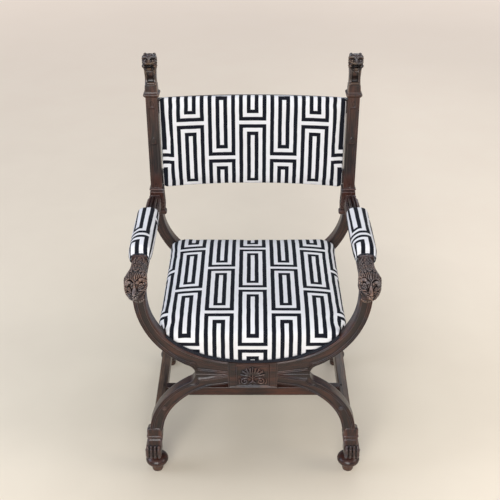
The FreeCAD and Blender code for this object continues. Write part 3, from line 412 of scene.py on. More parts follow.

# %% [markdown]
# The walnut is nearly black-brown with a red heart. Its streaks run along the grain, so every piece stores the
# place of each point along and across its own grain, and the noise is stretched along the first of the three.
# Edges are painted a redder, lighter brown, partly as rubbed wear and partly as a painted highlight, and in
# patches their colour turns grey and tinted, as a painted reflection on the polish. Hollows are painted darker,
# as dark wax and painted shade. A clear coat stands for the polish.

# %% Walnut
def walnut(name, dark, middle, light, edge, hollow=(0.006, 0.0032, 0.0026), own_grain=True, rough=0.34,
           reflection_tint=(0.88, 0.90, 1.12)):
    """Noise stretched 1:16 along the grain picks the brown; lighter edges, as wear and painted highlight, and
    darker hollows, as dark wax and painted shade, are laid over it from the shape.
    """
    f = Finish(name, Coat_Weight=0.4, Coat_Roughness=0.15, IOR=1.5, Specular_IOR_Level=0.28)
    run = f.attribute("grain", True) if own_grain else f.place()
    figure = f.noise(f.stretched(run, 7, 46, 46), 1.0, 4, 0.6)
    streak = f.noise(f.stretched(run, 16, 260, 260), 1.0, 3, 0.65)
    pore = f.noise(f.stretched(run, 90, 1500, 1500), 1.0, 1, 0.5).between(0.60, 0.74)
    cloud = f.noise(run, 9.0, 3, 0.55)
    tone = figure * 0.55 + streak * 0.45
    tone = tone + (cloud - 0.5) * 0.35
    brown = f.ramp(tone, (0.34, dark), (0.47, middle), (0.62, light))
    brown = f.mix(pore * 0.55, brown, tuple(v * 0.35 for v in dark))
    if own_grain:
        curved = f.attribute("worn")
        # Lighter edges: partly rubbed wear, partly a painted highlight.
        rubbed_and_highlit = ((curved - 0.12).most(0) * (cloud * 2.0 - 0.2)).least(1).most(0)
        # Patches where the edge colour turns grey and tinted: a painted reflection on the polish.
        reflection_patch = f.noise(f.place(), 26.0, 2, 0.5).between(0.44, 0.58)
        grey = sum(edge) / 3
        edge = f.mix(reflection_patch, edge, tuple(grey * v for v in reflection_tint))
        # Darker hollows: dark wax and painted shade.
        sunk = (curved * -1.7).most(0).least(1)
        brown = f.mix(rubbed_and_highlit * 0.9, brown, edge)
        brown = f.mix(sunk * 0.95, brown, hollow)
        f.out("Roughness", rough + streak * 0.16 + sunk * 0.3 - rubbed_and_highlit * 0.06)
    else:
        f.out("Roughness", rough + streak * 0.2 + cloud * 0.06)
    f.out("Base Color", brown)
    dents = f.noise(run, 130.0, 2, 0.5)
    f.out("Normal", f.bump(streak * 0.5 + dents * 0.6 - pore * 0.7, 0.00045, 0.7))
    return f.material


# The edge colours below are partly rubbed wear and partly a painted highlight.
dark_walnut = walnut("dark_walnut", (0.0055, 0.0032, 0.0038), (0.0172, 0.0080, 0.0072), (0.062, 0.0208, 0.0132),
                     (0.19, 0.105, 0.085), (0.0025, 0.0014, 0.0014))
# A lighter copy of the walnut for the side stretchers: painted light, standing in for light that the seat shades
# off them.
lit_stretcher_walnut = walnut("lit_stretcher_walnut", (0.030, 0.0190, 0.0132), (0.082, 0.0515, 0.0335),
                          (0.18, 0.103, 0.062), (0.26, 0.18, 0.13), (0.006, 0.0038, 0.0030))
warm_walnut = walnut("warm_walnut", (0.0085, 0.0038, 0.0030), (0.027, 0.0102, 0.0070), (0.075, 0.024, 0.0135),
                     (0.19, 0.10, 0.075), (0.0025, 0.0014, 0.0014))
red_walnut = walnut("red_walnut", (0.016, 0.007, 0.0050), (0.046, 0.0195, 0.0125), (0.10, 0.044, 0.026),
                    (0.22, 0.115, 0.075), (0.004, 0.002, 0.0016))
# Walnut with much lighter edges for the arm lions: partly wear from hands, partly a painted highlight.
handled_highlit_walnut = walnut("handled_highlit_walnut", (0.006, 0.0045, 0.0044), (0.020, 0.0115, 0.0105), (0.060, 0.026, 0.018),
                        (0.55, 0.335, 0.24), (0.0015, 0.0010, 0.0010), reflection_tint=(1.08, 0.93, 0.88))
finial_walnut = walnut("finial_walnut", (0.0055, 0.0035, 0.0035), (0.0180, 0.0090, 0.0075), (0.062, 0.0240, 0.0150),
                       (0.25, 0.165, 0.105), (0.0020, 0.0012, 0.0011), reflection_tint=(0.95, 0.94, 0.95))
inner_beech = walnut("inner_beech", (0.24, 0.15, 0.085), (0.38, 0.25, 0.15), (0.50, 0.35, 0.21),
                     (0.5, 0.4, 0.3), own_grain=False, rough=0.6)
print("wood finishes:", dark_walnut.name, red_walnut.name, inner_beech.name)

# %% [markdown]
# The cover is a heavy woven cloth with a bold pattern: long upright frames set one inside another, black and
# white by turns, with every second column dropped by half a frame. The distance to the frame's own edge, cut
# into bands 11 mm wide, gives the whole pattern. It is read from cloth coordinates that follow the surface
# over every roll, so that the lines bend with the stuffing. Fine ribs and single threads are laid over it.

# %% Patterned cloth
def framed_cloth(name, white, black):
    """Bands of the distance to the nearest edge of a frame: white for the first half band, then by turns."""
    f = Finish(name, Sheen_Weight=0.04, Sheen_Roughness=0.45, Specular_IOR_Level=0.12)
    line, wide, tall = 11.0, 88.0, 212.0
    u, v, _ = f.parts(f.stretched(f.attribute("cloth", True), 1000, 1000, 1000))
    wander = f.noise(f.place(), 38.0, 2, 0.5) * 1.6 - 0.8
    u, v = u + wander, v + wander * 0.7
    column = (u + wide / 2) / wide
    drop = (column - column % 1) % 2
    side = wide / 2 - abs((u + wide / 2) % wide - wide / 2)
    end = tall / 2 - abs((v + drop * (tall / 2)) % tall - tall / 2)
    inward = side.least(end)
    mask = abs((inward / line) % 2 - 1).between(0.47, 0.53)
    rib = abs((u / 1.5) % 1 - 0.5) * 2
    weft = abs((v / 1.1) % 1 - 0.5) * 2
    thread = f.noise(f.stretched(f.attribute("cloth", True), 900, 700, 900), 1.0, 2, 0.6)
    fade = f.noise(f.place(), 14.0, 3, 0.5)
    pale = f.mix((thread * 0.5 + rib * 0.35).least(1), white, tuple(v * 0.84 for v in white))
    pale = f.mix(fade.between(0.45, 0.75) * 0.25, pale, (0.62, 0.60, 0.60))
    deep = f.mix((thread * 0.6 + rib * 0.3).least(1), black, tuple(v * 2.4 for v in black))
    f.out("Base Color", f.mix(mask, deep, pale))
    f.out("Roughness", 0.82 - mask * 0.08 + thread * 0.1)
    weave = f.bump(rib * 0.6 + weft * 0.5 + thread * 0.5, 0.00025, 0.6)
    f.out("Normal", f.bump(mask, 0.0005, 0.5, weave))
    return f.material


cover_cloth = framed_cloth("cover_cloth", (0.83, 0.82, 0.83), (0.0045, 0.005, 0.008))
print("cloth finish:", cover_cloth.name)

# %% [markdown]
# Behind and below the cover are plainer cloths: jute webbing and hessian, a black dust cover, and the dark
# braid that hides the tacks. They share one weave, crossed threads from two folded waves, at their own scale.

# %% Plain weaves
def plain_weave(name, first, second, pitch, depth=0.0003, cloth=False):
    """Two folded waves at right angles; the taller one is the thread on top and picks the colour."""
    f = Finish(name, Sheen_Weight=0.15, Specular_IOR_Level=0.2)
    at = f.attribute("grain", True) if cloth else f.place()
    x, y, z = f.parts(f.stretched(at, 1 / pitch, 1 / pitch, 1 / pitch))
    warp = abs((x + z * 0.5) % 1 - 0.5) * 2
    weft = abs((y + z * 0.5) % 1 - 0.5) * 2
    fuzz = f.noise(f.place(), 900.0, 2, 0.6)
    blotch = f.noise(f.place(), 25.0, 3, 0.5)
    f.out("Base Color", f.mix((fuzz * 0.6 + blotch * 0.4).between(0.3, 0.7), first, second))
    f.out("Roughness", 0.8 + fuzz * 0.15)
    f.out("Normal", f.bump(warp.most(weft) + fuzz * 0.4, depth, 0.8))
    return f.material


jute = plain_weave("jute", (0.36, 0.25, 0.13), (0.50, 0.38, 0.22), 0.002)
black_cloth = plain_weave("black_cloth", (0.010, 0.010, 0.011), (0.022, 0.022, 0.024), 0.0008)
dark_braid = plain_weave("dark_braid", (0.006, 0.007, 0.012), (0.016, 0.018, 0.030), 0.0016, cloth=True)
steel = Finish("screw_steel", Metallic=1.0, Roughness=0.35)
brushed = steel.noise(steel.place(), 300.0)
steel.out("Base Color", steel.ramp(brushed, (0.3, (0.3, 0.29, 0.28)), (0.7, (0.5, 0.5, 0.5))))
print("plain cloths:", jute.name, black_cloth.name, dark_braid.name)

# %% [markdown]
# Two arches cross in each frame: the upper one carries the arms, the lower one is the pair of legs. Each half
# is a plank sawn to two curves, and its section is the same all the way: a bead along the inner edge, a sunk
# field and two beads along the outer edge. So it is made as one profile carried from the centre block outwards,
# held at fixed distances from both curves. Near the block the outer beads leave the glue line and meet in a V.

# %% The curves of the two arches
block_edge, apex, mouth_x, joint = 65, 151, 170, 354
opening = (267, -204, 2.2, 594)
leg_inside, leg_outside = (246, 187, 2, 150), (282, 220, 2, 150)


def superellipse(half, rise, power, level, x):
    """Height at x: level + rise * (1 - (x/half)^power)^(1/power)."""
    return level + rise * np.clip(1 - (np.abs(x) / half) ** power, 0, 1) ** (1 / power)


def elliptic(half, rise, power, level, start, end, count=160):
    """Points of the superellipse between two x values, evenly spaced in angle."""
    a = np.linspace(np.arccos((start / half) ** (power / 2)), np.arccos((end / half) ** (power / 2)), count)
    return xyz(half * np.cos(a) ** (2 / power), level + rise * np.sin(a) ** (2 / power))


def wedge(mouth):
    """The arc from the apex of the open wedge, where it is upright, to its mouth."""
    reach, drop = mouth[0] - apex, mouth[1] - joint
    radius = (reach ** 2 + drop ** 2) / (2 * reach)
    a = np.linspace(0, np.arctan2(abs(drop), radius - reach), 20)
    return xyz(apex + radius * (1 - np.cos(a)), joint + np.sign(drop) * radius * np.sin(a))


def nearest(line, x, z):
    return int(np.argmin(np.hypot(line[:, 0] - x, line[:, 1] - z)))


def paired(inner, beyond, forks, counts):
    """The outer line runs along the joint to the wedge's apex, round its arc to the mouth and beyond. Both lines
    are cut where they pass the apex and the mouth, and walked at equal shares between the cuts."""
    outer = np.vstack([[(block_edge, joint)], xyz(np.linspace(70, 148, 30), joint), wedge(beyond[0]), beyond[1:]])
    cuts = [(0, 0), (nearest(inner, *forks[0]), nearest(outer, apex, joint)),
            (nearest(inner, *forks[1]), nearest(outer, *beyond[0])), (len(inner) - 1, len(outer) - 1)]
    walks = []
    for line, own in ((inner, 0), (outer, 1)):
        runs = [walked(line[a[own]:b[own] + 1], np.linspace(0, 1, n, endpoint=False))
                for a, b, n in zip(cuts, cuts[1:], counts)]
        walks.append(np.concatenate(runs + [line[-1:]]))
    return walks


def arch_lines(top):
    """Inner and outer line of an upper arch, up to a height: a superellipse, and a circle that ends upright."""
    centre, rim, radius = 55, 600, 245
    inner = np.vstack([elliptic(*opening, block_edge, 267), [(267, rim), (267, 606)]])
    a = np.linspace(np.arcsin((mouth_x - centre) / radius), np.pi / 2, 150)
    beyond = np.vstack([xyz(centre + radius * np.sin(a), rim - radius * np.cos(a)), [(300, 606)]])
    inner, outer = paired(inner, beyond, [(137, 404), (151, 411)], (50, 16, 170))
    keep = outer[:, 1] < top if top < rim else slice(None)
    return inner[keep], outer[keep]


def leg_lines():
    """Inner and outer line of a leg: two ellipses, the inner one eased away near the block and above the cuff."""
    inner = np.vstack([elliptic(*leg_inside, block_edge, 246), [(246, 137), (246, 124)]])
    beyond = np.vstack([elliptic(*leg_outside, mouth_x, 282), [(282, 137), (282, 124)]])
    inner[:, 1] -= 7.5 * (1 - step(inner[:, 0], 78, 128))
    inner[:, 0] += 5.5 * (1 - step(inner[:, 1], 146, 172))
    return paired(inner, beyond, [(132, 308), (147, 300)], (50, 16, 150))


print("stations along an arch and a leg:", len(arch_lines(606)[0]), len(leg_lines()[0]))

# %% The moulded section
def half_round(width, height, count=7):
    """A bead: offsets across it and its height sqrt(1 - t^2)."""
    t = np.cos(np.linspace(np.pi, 0, count))
    return (t + 1) / 2 * width, height * np.sqrt(1 - t * t)


def moulded(inner, outer, veer, recess, sunk=1.8, deep=32):
    """Rings round a plank with beads. Each point is a distance from the inner or the outer curve and a depth.
    The outer beads lie veer away from the outer curve, and the strip outside them is cut recess deep."""
    width, veer, recess = np.linalg.norm(outer - inner, axis=1)[:, None], veer[:, None], recess[:, None]
    bead, rise = half_round(4.6, 1.9)
    small, low = half_round(3.8, 1.6)
    arris = np.array([0, 0.45, 1.5])
    field, strip = np.linspace(0.02, 0.98, 14), np.linspace(0, 1, 6)
    edge, back = np.linspace(0, 1, 7)[1:-1], np.linspace(0, 1, 12)[1:-1]
    near, far = 7.4, width - veer - 9.6
    parts = [(arris, arris[::-1]),
             (2.2 + bead, sunk - rise),
             (near + field * (far - near), sunk + 0.35 * np.sin(np.pi * field)),
             (width - veer - 8.9 + small, sunk - low),
             (width - veer - 4.4 + small, sunk - low),
             (width - (veer - 0.3) * (1 - strip) - 1.6 * strip, recess * np.sin(np.pi * np.clip(strip, 0, 0.5))),
             (width - arris[::-1], recess * 0.9 + arris),
             (width, 1.5 + edge * (deep - 3)),
             (width - arris, deep - arris[::-1]),
             (width * (1 - back), deep),
             (arris[::-1], deep - arris),
             (0, deep - 1.5 - edge * (deep - 3))]
    parts = [np.broadcast_arrays(across, depth, width)[:2] for across, depth in parts]
    across, depth = (np.concatenate(both, 1) for both in zip(*parts))
    share = (across / width)[..., None]
    flat = inner[:, None] * (1 - share) + outer[:, None] * share
    grain = xyz(running((inner + outer) / 2)[:, None], across, depth)
    return xyz(flat[..., 0], depth, flat[..., 1]), grain


def arch_shells(top):
    inner, outer = arch_lines(top)
    x, curved = outer[:, 0], outer[:, 1] < 600
    veer = np.where(curved, np.interp(x, [65, 124, 151, 172, 200], [1.2, 9.5, 13, 5.5, 3]), 3)
    recess = np.where(curved, np.interp(x, [65, 80, 150, 176], [0.3, 2.4, 3, 0]), 0)
    return [skin(*moulded(inner, outer, veer, recess))]


def leg_shells():
    inner, outer = leg_lines()
    veer = np.interp(outer[:, 0], [65, 129, 151, 172, 200], [1.2, 14.5, 17, 6, 3])
    recess = np.interp(outer[:, 0], [65, 80, 150, 176], [0.3, 2.4, 3, 0])
    return [skin(*moulded(inner, outer, veer, recess))]


print("points round the moulded section:", len(arch_shells(606)[0]["co"]) // len(arch_lines(606)[0]))

# %% [markdown]
# Each leg ends in a lion's paw that grips a flattened ball on a small peg. The paw is a stack of rounded
# squares whose size and place change downwards, with toes, knuckles and claws laid on as strokes. The two
# light bands of the cuff come from the same rows, because a band is a place where the rings widen and narrow.

# %% Paws, balls and pegs
foot_x, foot_y = 271, 16


def paw_shells():
    """Rings from the cuff down: two ridges with a groove between, a wrist, and a foot that swells forwards.
    Toes are strokes side by side over its front, and the rings draw in below the claws to a neck in the ball."""
    table = np.array([
        (0.00, .60, .60, .02, -.10), (0.07, .66, .60, .02, -.05), (0.09, .80, .66, .01, 0), (0.12, .87, .70, 0, 0),
        (0.17, .89, .73, 0, 0), (0.27, .90, .76, 0, 0), (0.298, .95, .84, 0, 0), (0.328, .95, .84, 0, 0),
        (0.336, .80, .66, .02, 0), (0.39, .80, .66, .02, 0), (0.428, .90, .765, .01, .01),
        (0.465, .92, .79, .01, .02), (0.50, .88, .78, 0, .04), (0.58, .88, .80, -.02, .06),
        (0.66, .91, .90, -.06, .085), (0.74, .92, .98, -.08, .10), (0.82, .92, 1.0, -.09, .10),
        (0.865, .87, .96, -.09, .10), (0.88, .70, .72, -.04, .06), (0.90, .55, .55, 0, .02), (1.0, .50, .50, 0, 0)])
    t = np.concatenate([np.linspace(0, 0.5, 110), np.linspace(0.5, 1, 100)[1:]])[:, None]
    wide, deep, forward, out = read_at(t[:, 0], table[:, 0], table[:, 1:]).T[..., None]
    half_x, half_y = wide * 23, deep * 24
    corner = (0.30 + 0.08 * step(t, 0.45, 0.62)) * np.minimum(half_x, half_y)
    u, v = squared(half_x, half_y, corner, 24, 8)
    rings = xyz(foot_x + out * 46 + u, foot_y + forward * 48 + v, 172 - t * 120)
    rings[..., 2] -= 9 * step(rings[..., 1], 2, 32) * (1 - step(t, 0.10, 0.28))
    strokes = drawn([(30, [(290.5, 20, 104), (294, 15, 92), (296.4, 10, 82), (296.2, 8, 71)], 6.0, 2.2)])
    for i in range(4):
        x, fan, back = 277.0 + (i - 1.5) * 10.3, (i - 1.5) * 0.5, 0.8 if i in (0, 3) else 0
        toe = curve([(x, -4.2 + back * 0.7, 102), (x, -8.5 + back, 93), (x, -11.5 + back, 83),
                     (x + fan, -12.2 + back, 75), (x + fan, -11.6 + back, 69)], 40)
        strokes += [(toe, np.interp(np.linspace(0, 1, 40), [0, 0.3, 0.6, 1], [3.6, 5.5, 5.9, 4.6]), 4.6),
                    (toe[11:16], 5.2, 6.4), tapered(toe[27:], 3.0, 6.0, 0.8, 0.5)]
    return [skin(carved(rings, strokes), rings[..., [2, 0, 1]])]


def turned(profile, x=foot_x, y=foot_y, around=44):
    """A turning: circles of the profile's radii at its heights."""
    radius, height = np.asarray(profile, float).T[..., None]
    a = np.arange(around) / around * 2 * np.pi
    return skin(xyz(x + radius * np.cos(a), y + radius * np.sin(a), height))


def ball_shells():
    """A flattened ball: an arc of an ellipse, turned about its upright axis between two flat ends."""
    a = np.radians(np.linspace(72, -72, 30))
    rim = xyz(31.5 * np.cos(a), 38.5 + 18 * np.sin(a))
    return [turned(np.vstack([[(6, rim[0, 1])], rim, [(6, rim[-1, 1])]]))]


def peg_shells():
    """The peg under a ball: radii eased over a few measured heights."""
    table = [(0, 25.6, 12.4), (0.2, 21.5, 12.6), (0.36, 17, 13.8), (0.55, 12, 15.4), (0.8, 5, 15.5),
             (0.95, 1, 14.2), (1, 0, 12.6)]
    rows = eased(table, np.linspace(0, 1, 26))
    return [turned(np.vstack([[(4, 25.6)], rows[:, ::-1], [(4, 0)]]))]


def boss_shells():
    """A button half way across the leg: a dome with a rim, and a spigot into the wood."""
    z = 236
    x = sum(half * np.sqrt(1 - ((z - level) / rise) ** 2) for half, rise, _, level in (leg_inside, leg_outside)) / 2
    shell = turned([(3.9, -13), (3.9, -0.6), (6.6, -0.6), (6.7, 0.6), (6.2, 1.5), (5.2, 1.7), (4.7, 1.6),
                    (4.2, 2.4), (2.8, 3.1), (1.2, 3.4)], 0, 0, 28)
    u, v, out = shell["co"].T
    return [dict(shell, co=xyz(x + u, 2.0 - out, z + v))]


for row, turn in frames.items():
    legs = leg_shells() + paw_shells()
    arches = arch_shells(606 if row == "front" else 575)
    for side, flip in sides.items():
        put(f"{row}_leg_{side}_carved", flip(turn(legs)), dark_walnut, f"{row}_leg_{side}")
        put(f"{row}_arch_{side}_carved", flip(turn(arches)), dark_walnut, f"{row}_arch_{side}")
        put(f"foot_ball_{row}_{side}_turned", flip(turn(ball_shells())), dark_walnut, f"foot_ball_{row}_{side}")
        put(f"foot_peg_{row}_{side}_turned", flip(turn(peg_shells())), red_walnut, f"foot_peg_{row}_{side}")
bosses = [s for turn in frames.values() for flip in sides.values() for s in flip(turn(boss_shells()))]
put("leg_buttons", bosses, dark_walnut, "leg_bosses")

# %% [markdown]
# Camera, floor and lamps come early, so that every later piece can be judged in the same light. The camera
# looks down by 31 degrees, as in the photograph. Five wide lamps are soft: one in front, one overhead, one to
# each side, and a dim one behind to draw the outline of the back. The floor carries painted light: away from
# the chair it glows a little, standing in for a bright room's light on pale paper. Camera, glossy and
# transmission rays see that glow, so it lights no piece, though the polish reflects it.

# %% Camera, floor and lamps
scene = bpy.context.scene
scene.view_settings.view_transform = "Standard"
camera = bpy.data.objects.new("camera", bpy.data.cameras.new("camera"))
camera.data.lens, camera.data.sensor_width, camera.data.shift_x = 62.7, 36, -0.0054
camera.location = (0, -2.0443, 1.8244)
camera.rotation_euler = (np.radians(90 - 31.23), 0, 0)
scene.collection.objects.link(camera)
scene.camera = camera

pale = Finish("pale_floor", Roughness=0.9, Specular_IOR_Level=0.1, Emission_Strength=1.0)
x, y, _ = pale.parts(pale.place())
speck = pale.noise(pale.place(), 3.0, 3, 0.6)
pale.out("Base Color", pale.ramp(speck, (0.3, (0.68, 0.605, 0.48)), (0.7, (0.71, 0.635, 0.505))))
rays = pale.node("ShaderNodeLightPath").outputs
seen = sum(Num(pale, rays[kind]) for kind in ("Is Camera Ray", "Is Glossy Ray", "Is Transmission Ray"))
away = (x * x + y * y).by("SQRT")
# Painted light on the floor: a glow that grows away from the chair, stronger on the right and a little in front.
painted_floor_light = (away - 0.3).most(0) * 0.2 - (away - 1.2).most(0) * 0.093
painted_floor_light = (painted_floor_light + x.most(0).least(0.8) * (1 - away.between(1.3, 3.5) * 0.8) * 0.16) * y.between(-1.9, -0.7)
painted_floor_light = painted_floor_light + (1 - y.between(-0.25, -0.05)) * 0.05 + (away - 4.5).most(0) * y.between(-1.0, -3.0) * 0.1
pale.out("Emission Color", pale.mix(painted_floor_light.most(0).least(0.75) * seen.least(1), (0, 0, 0), (1, 0.86, 0.76)))
floor_mesh = bpy.data.meshes.new("floor")
floor_mesh.from_pydata([(-9, -9, 0), (9, -9, 0), (9, 14, 0), (-9, 14, 0)], [], [(0, 1, 2, 3)])
floor_mesh.materials.append(pale.material)
floor = bpy.data.objects.new("floor", floor_mesh)
scene.collection.objects.link(floor)


def lamp(name, place, aim, size, power, colour=(1, 1, 1)):
    """A square area lamp at place, turned to look at aim."""
    data = bpy.data.lights.new(name, "AREA")
    data.size, data.energy, data.color = size, power, colour
    made = bpy.data.objects.new(name, data)
    made.location = place
    made.rotation_euler = (Vector(aim) - Vector(place)).to_track_quat("-Z", "Y").to_euler()
    scene.collection.objects.link(made)


lamp("front_lamp", (-0.5, -3.3, 2.0), (0, 0, 0.5), 2.2, 112, (1, 0.99, 0.975))
lamp("top_lamp", (0.1, 0.4, 3.3), (0, 0, 0.5), 1.5, 27, (0.88, 0.93, 1))
lamp("left_lamp", (-3.0, -0.4, 1.7), (0, 0, 0.5), 1.6, 34, (0.74, 0.82, 1))
lamp("right_lamp", (3.0, -0.8, 2.0), (0, 0, 0.5), 1.6, 26, (1, 0.93, 0.86))
lamp("back_lamp", (0.6, 2.8, 2.2), (0, 0, 0.6), 1.6, 12, (0.9, 0.95, 1))
scene.world = bpy.data.worlds.new("room")
scene.world.use_nodes = True
room = scene.world.node_tree.nodes["Background"]
room.inputs["Color"].default_value = (0.80, 0.85, 1, 1)
room.inputs["Strength"].default_value = 0.27

# %% [markdown]
# A stuffed seat is horsehair under cloth, drawn down over the rails. Its parts are drawn as simple closed
# shells that overlap, and a voxel remesh melts them into one even skin. Then the cloth solver blows the skin
# up a little, as stuffing does. How far a point may go is capped, and the cap fades to nothing where the cloth
# is tacked down or pressed against wood. The cloth coordinates are taken before the swelling, so that the
# pattern stretches with the cloth.

# %% Stuffing
def relaxed(mesh, rounds):
    """Points moved half way to the mean of their neighbours, a few times over: it rounds the creases."""
    co, edges = read_points(mesh), edges_of(mesh)
    for _ in range(rounds):
        co = co * 0.5 + neighbour_mean(co, *edges) * 0.5
    return co


def stuffed(name, shells, voxel, cap, rounds, give, cloth_at, *stands_for, fill=0.8):
    """Remesh, relax, blow up and cap: displacement = solver's, cut to cap * give(point), give from 0 to 1."""
    piece = put(name, shells, cover_cloth, *stands_for, slot="patterned_cloth", smooth=180, edges=False)
    melt = piece.modifiers.new("melt", "REMESH")
    melt.mode, melt.voxel_size, melt.use_smooth_shade = "VOXEL", voxel / 1000, True
    piece.data = bpy.data.meshes.new_from_object(piece.evaluated_get(bpy.context.evaluated_depsgraph_get()))
    piece.modifiers.clear()
    mesh = piece.data
    co = relaxed(mesh, rounds)
    mesh.vertices.foreach_set("co", co.ravel())
    mesh.update()
    rest = co * 1000 - (0, front_y, 0)
    most = cap / 1000 * give(rest)[:, None]
    cloth = piece.modifiers.new("cloth", "CLOTH")
    cloth.settings.use_pressure, cloth.settings.uniform_pressure_force = True, 4.0
    cloth.settings.effector_weights.gravity = 0
    cloth.settings.quality = 4
    cloth.settings.tension_stiffness = cloth.settings.compression_stiffness = 12
    cloth.point_cache.frame_start, cloth.point_cache.frame_end = 1, 20
    for step_number in range(1, 21):
        scene.frame_set(step_number)
    blown = piece.evaluated_get(bpy.context.evaluated_depsgraph_get())
    shift = read_points(blown.data) - co
    piece.modifiers.clear()
    scene.frame_set(1)
    far = np.linalg.norm(shift, axis=1, keepdims=True)
    print(name, "blown up by", round(float(np.percentile(far, 95)) * 1000, 1), "mm before the cap")
    shift *= most / np.maximum(np.maximum(far, most), 1e-9)
    mesh.vertices.foreach_set("co", (co + shift).ravel())
    for attribute in ("cloth", "grain"):
        laid = mesh.attributes.new(attribute, "FLOAT_VECTOR", "POINT")
        laid.data.foreach_set("vector", (cloth_at(rest) / 1000).ravel())
    mesh.update()
    mesh.shade_smooth()
    fine = piece.modifiers.new("fine", "SUBSURF")
    fine.levels = fine.render_levels = 1
    print(name, len(mesh.polygons), "faces")
    return piece


# %% [markdown]
# The seat is a boxed cushion between two rolls that fill the arches' opening, with the cloth drawn down over
# the rails at both sides. So it is bounded by the opening's own curve, less a gap.

# %% Seat
def opening_half(z, gap):
    """Half width of the upper arches' opening at a height, less a gap."""
    half, rise, power, level = opening
    share = np.clip((level - z) / (-rise - gap), 0, 1)
    return (half - gap) * (1 - share ** power) ** (1 / power)


def opening_bottom(x, gap):
    """Height of the opening's lower edge at x, raised by a gap."""
    half, rise, power, level = opening
    return superellipse(half - gap, rise + gap, power, level, x)


def seat_shells():
    """Three overlapping shells: the boxed cushion as rings up, and a D in front and behind as rings in depth."""
    low, edge, crown, middle = 456.6, 484, 497, frame_depth / 2
    t = np.linspace(0, 1, 9)[:, None]
    u, v = squared(250 - 6 * (2 * t - 1) ** 2, 220.5, 30, 30, 8)
    walls = xyz(u, middle + v, low + (edge - low) * t)
    t = np.linspace(0.04, 1, 22)[:, None]
    u, v = squared(244 - 236 * t, 220.5 - 210 * t ** 1.6, 30 - 24 * t, 30, 8)
    dome = xyz(u, middle + v, edge + (crown - edge) * (1 - (1 - t) ** 3.2))
    a = np.linspace(0, np.pi / 2, 9)
    depth = np.append(4.5 + 21 * (1 - np.cos(a)), 60)[:, None]

    def apron(rise):
        """The D: as wide as the opening allows at its rounded top edge, and down to the arch below."""
        top = np.append(464 + rise * np.sin(a), 466 + rise)[:, None]
        reach = opening_half(top, 2.5) * np.sin(np.linspace(-1, 1, 90) * np.pi / 2)
        floor_z = opening_bottom(reach, 2.0)
        floor_z = np.where(depth > 33, np.maximum(floor_z, 458), floor_z)
        lower, upper = xyz(reach, depth, np.minimum(floor_z, top - 1)), xyz(reach[:, ::-1], depth, top)
        return [skin(np.concatenate([lower, upper[:, 1:-1]], 1))]

    shells = [skin(np.concatenate([walls, dome]))] + apron(21) + behind(apron(12))
    y, turn = np.linspace(34, 473, 60)[:, None], np.linspace(0, 2 * np.pi, 24, endpoint=False)
    taper = np.interp(y, [34, 44, 463, 473], [0.6, 1, 1, 0.6])
    for sign in (-1, 1):
        x = sign * (239 + 6.5 * taper * np.cos(turn) * (1 - 0.3 * np.abs(np.sin(turn))))
        shells.append(skin(xyz(x, y, 446 + 25 * taper * np.sin(turn))))
    return shells


def seat_give(p):
    """Full on the top, fading to nothing at the arch's edge, at the tacked lower edges and underneath."""
    x, y, z = np.abs(p[:, 0]), p[:, 1], p[:, 2]
    from_arch = z - opening_bottom(np.minimum(x, 264.9), 2)
    ends = np.where((y < 36) | (y > 471), step(from_arch, 3, 34), 1)
    return (ends * step(z, 430, 480) * (0.45 + 0.55 * step(np.minimum(y, frame_depth - y), 5, 90))
            * step(z, 459, 462))


def seat_cloth(p):
    """u = x, growing with the drop down the sides; v = depth on the top, and along the roll and down in front."""
    x, y, z = p.T
    down = np.maximum(0, 484 - z) * step(np.abs(x), 226, 240) * ((y > 33) & (y < 474))
    y_near = np.minimum(y, frame_depth - y)
    angle = np.clip(np.arctan2(25.5 - y_near, np.maximum(z - 463, 0)), 0, np.pi / 2)
    over = np.where(y_near < 25.5, 25.5 - 21 * angle - np.maximum(463 - z, 0), y_near)
    v = np.where(y < frame_depth / 2, over, frame_depth - over)
    return xyz(np.sign(x) * (np.abs(x) + down), v + 31, 0.0)


stuffed("seat_upholstery", seat_shells(), 6, 9, 3, seat_give, seat_cloth, "seat_cushion", "seat_pad_front",
        "seat_pad_rear", "seat_side_pad_right", "seat_side_pad_left", fill=0.85)

# %% [markdown]
# The backrest is a band of cloth over two bowed rails. Front and back are one closed form here: its face lies
# between the posts, its middle bows backwards, and the whole leans with the posts.

# %% Backrest
post_x, post_y, shaft_foot, lean = 280.5, 491, 645, 2.2


def leaned(points, degrees=lean):
    """Points turned back about the foot of the post shafts, or upright again with the degrees negative."""
    a = np.radians(degrees)
    x, y, z = np.moveaxis(points, -1, 0)
    y, z = y - post_y, z - shaft_foot
    return xyz(x, post_y + y * np.cos(a) + z * np.sin(a), shaft_foot - y * np.sin(a) + z * np.cos(a))


def bow(x):
    """Share of the bow at x: 1 in the middle, 0 at the posts, along a parabola."""
    return 1 - (x / 264) ** 2


def backrest_shells():
    """Rings along x: a flat loop with rounded upper and lower edges, moved back by the bow."""
    x = np.linspace(-258.5, 258.5, 90)[:, None]
    arc, nip = bow(x), np.minimum(1, 0.35 + 0.65 * np.sqrt(np.clip((258.8 - np.abs(x)) / 6, 0, 1)))
    front, back = 479.5 + 21 * arc, 507.2 + 28 * arc
    half_d = (back - front) / 2 * nip
    u, v = squared(half_d, 139 - (1 - nip) * 3, np.minimum(half_d * 0.96, 12), 40, 9)
    z = 797 + v - step(v, 100, 139) * (3 + 6.5 * (u / half_d / 2 + 0.5))
    z = z - step(-v, 100, 139) * (3.5 * (1 - arc) - 1.5 * arc)
    return [skin(leaned(xyz(x * (1 + 0.0165 * step(z, 658, 668)), (front + back) / 2 + u, z)))]


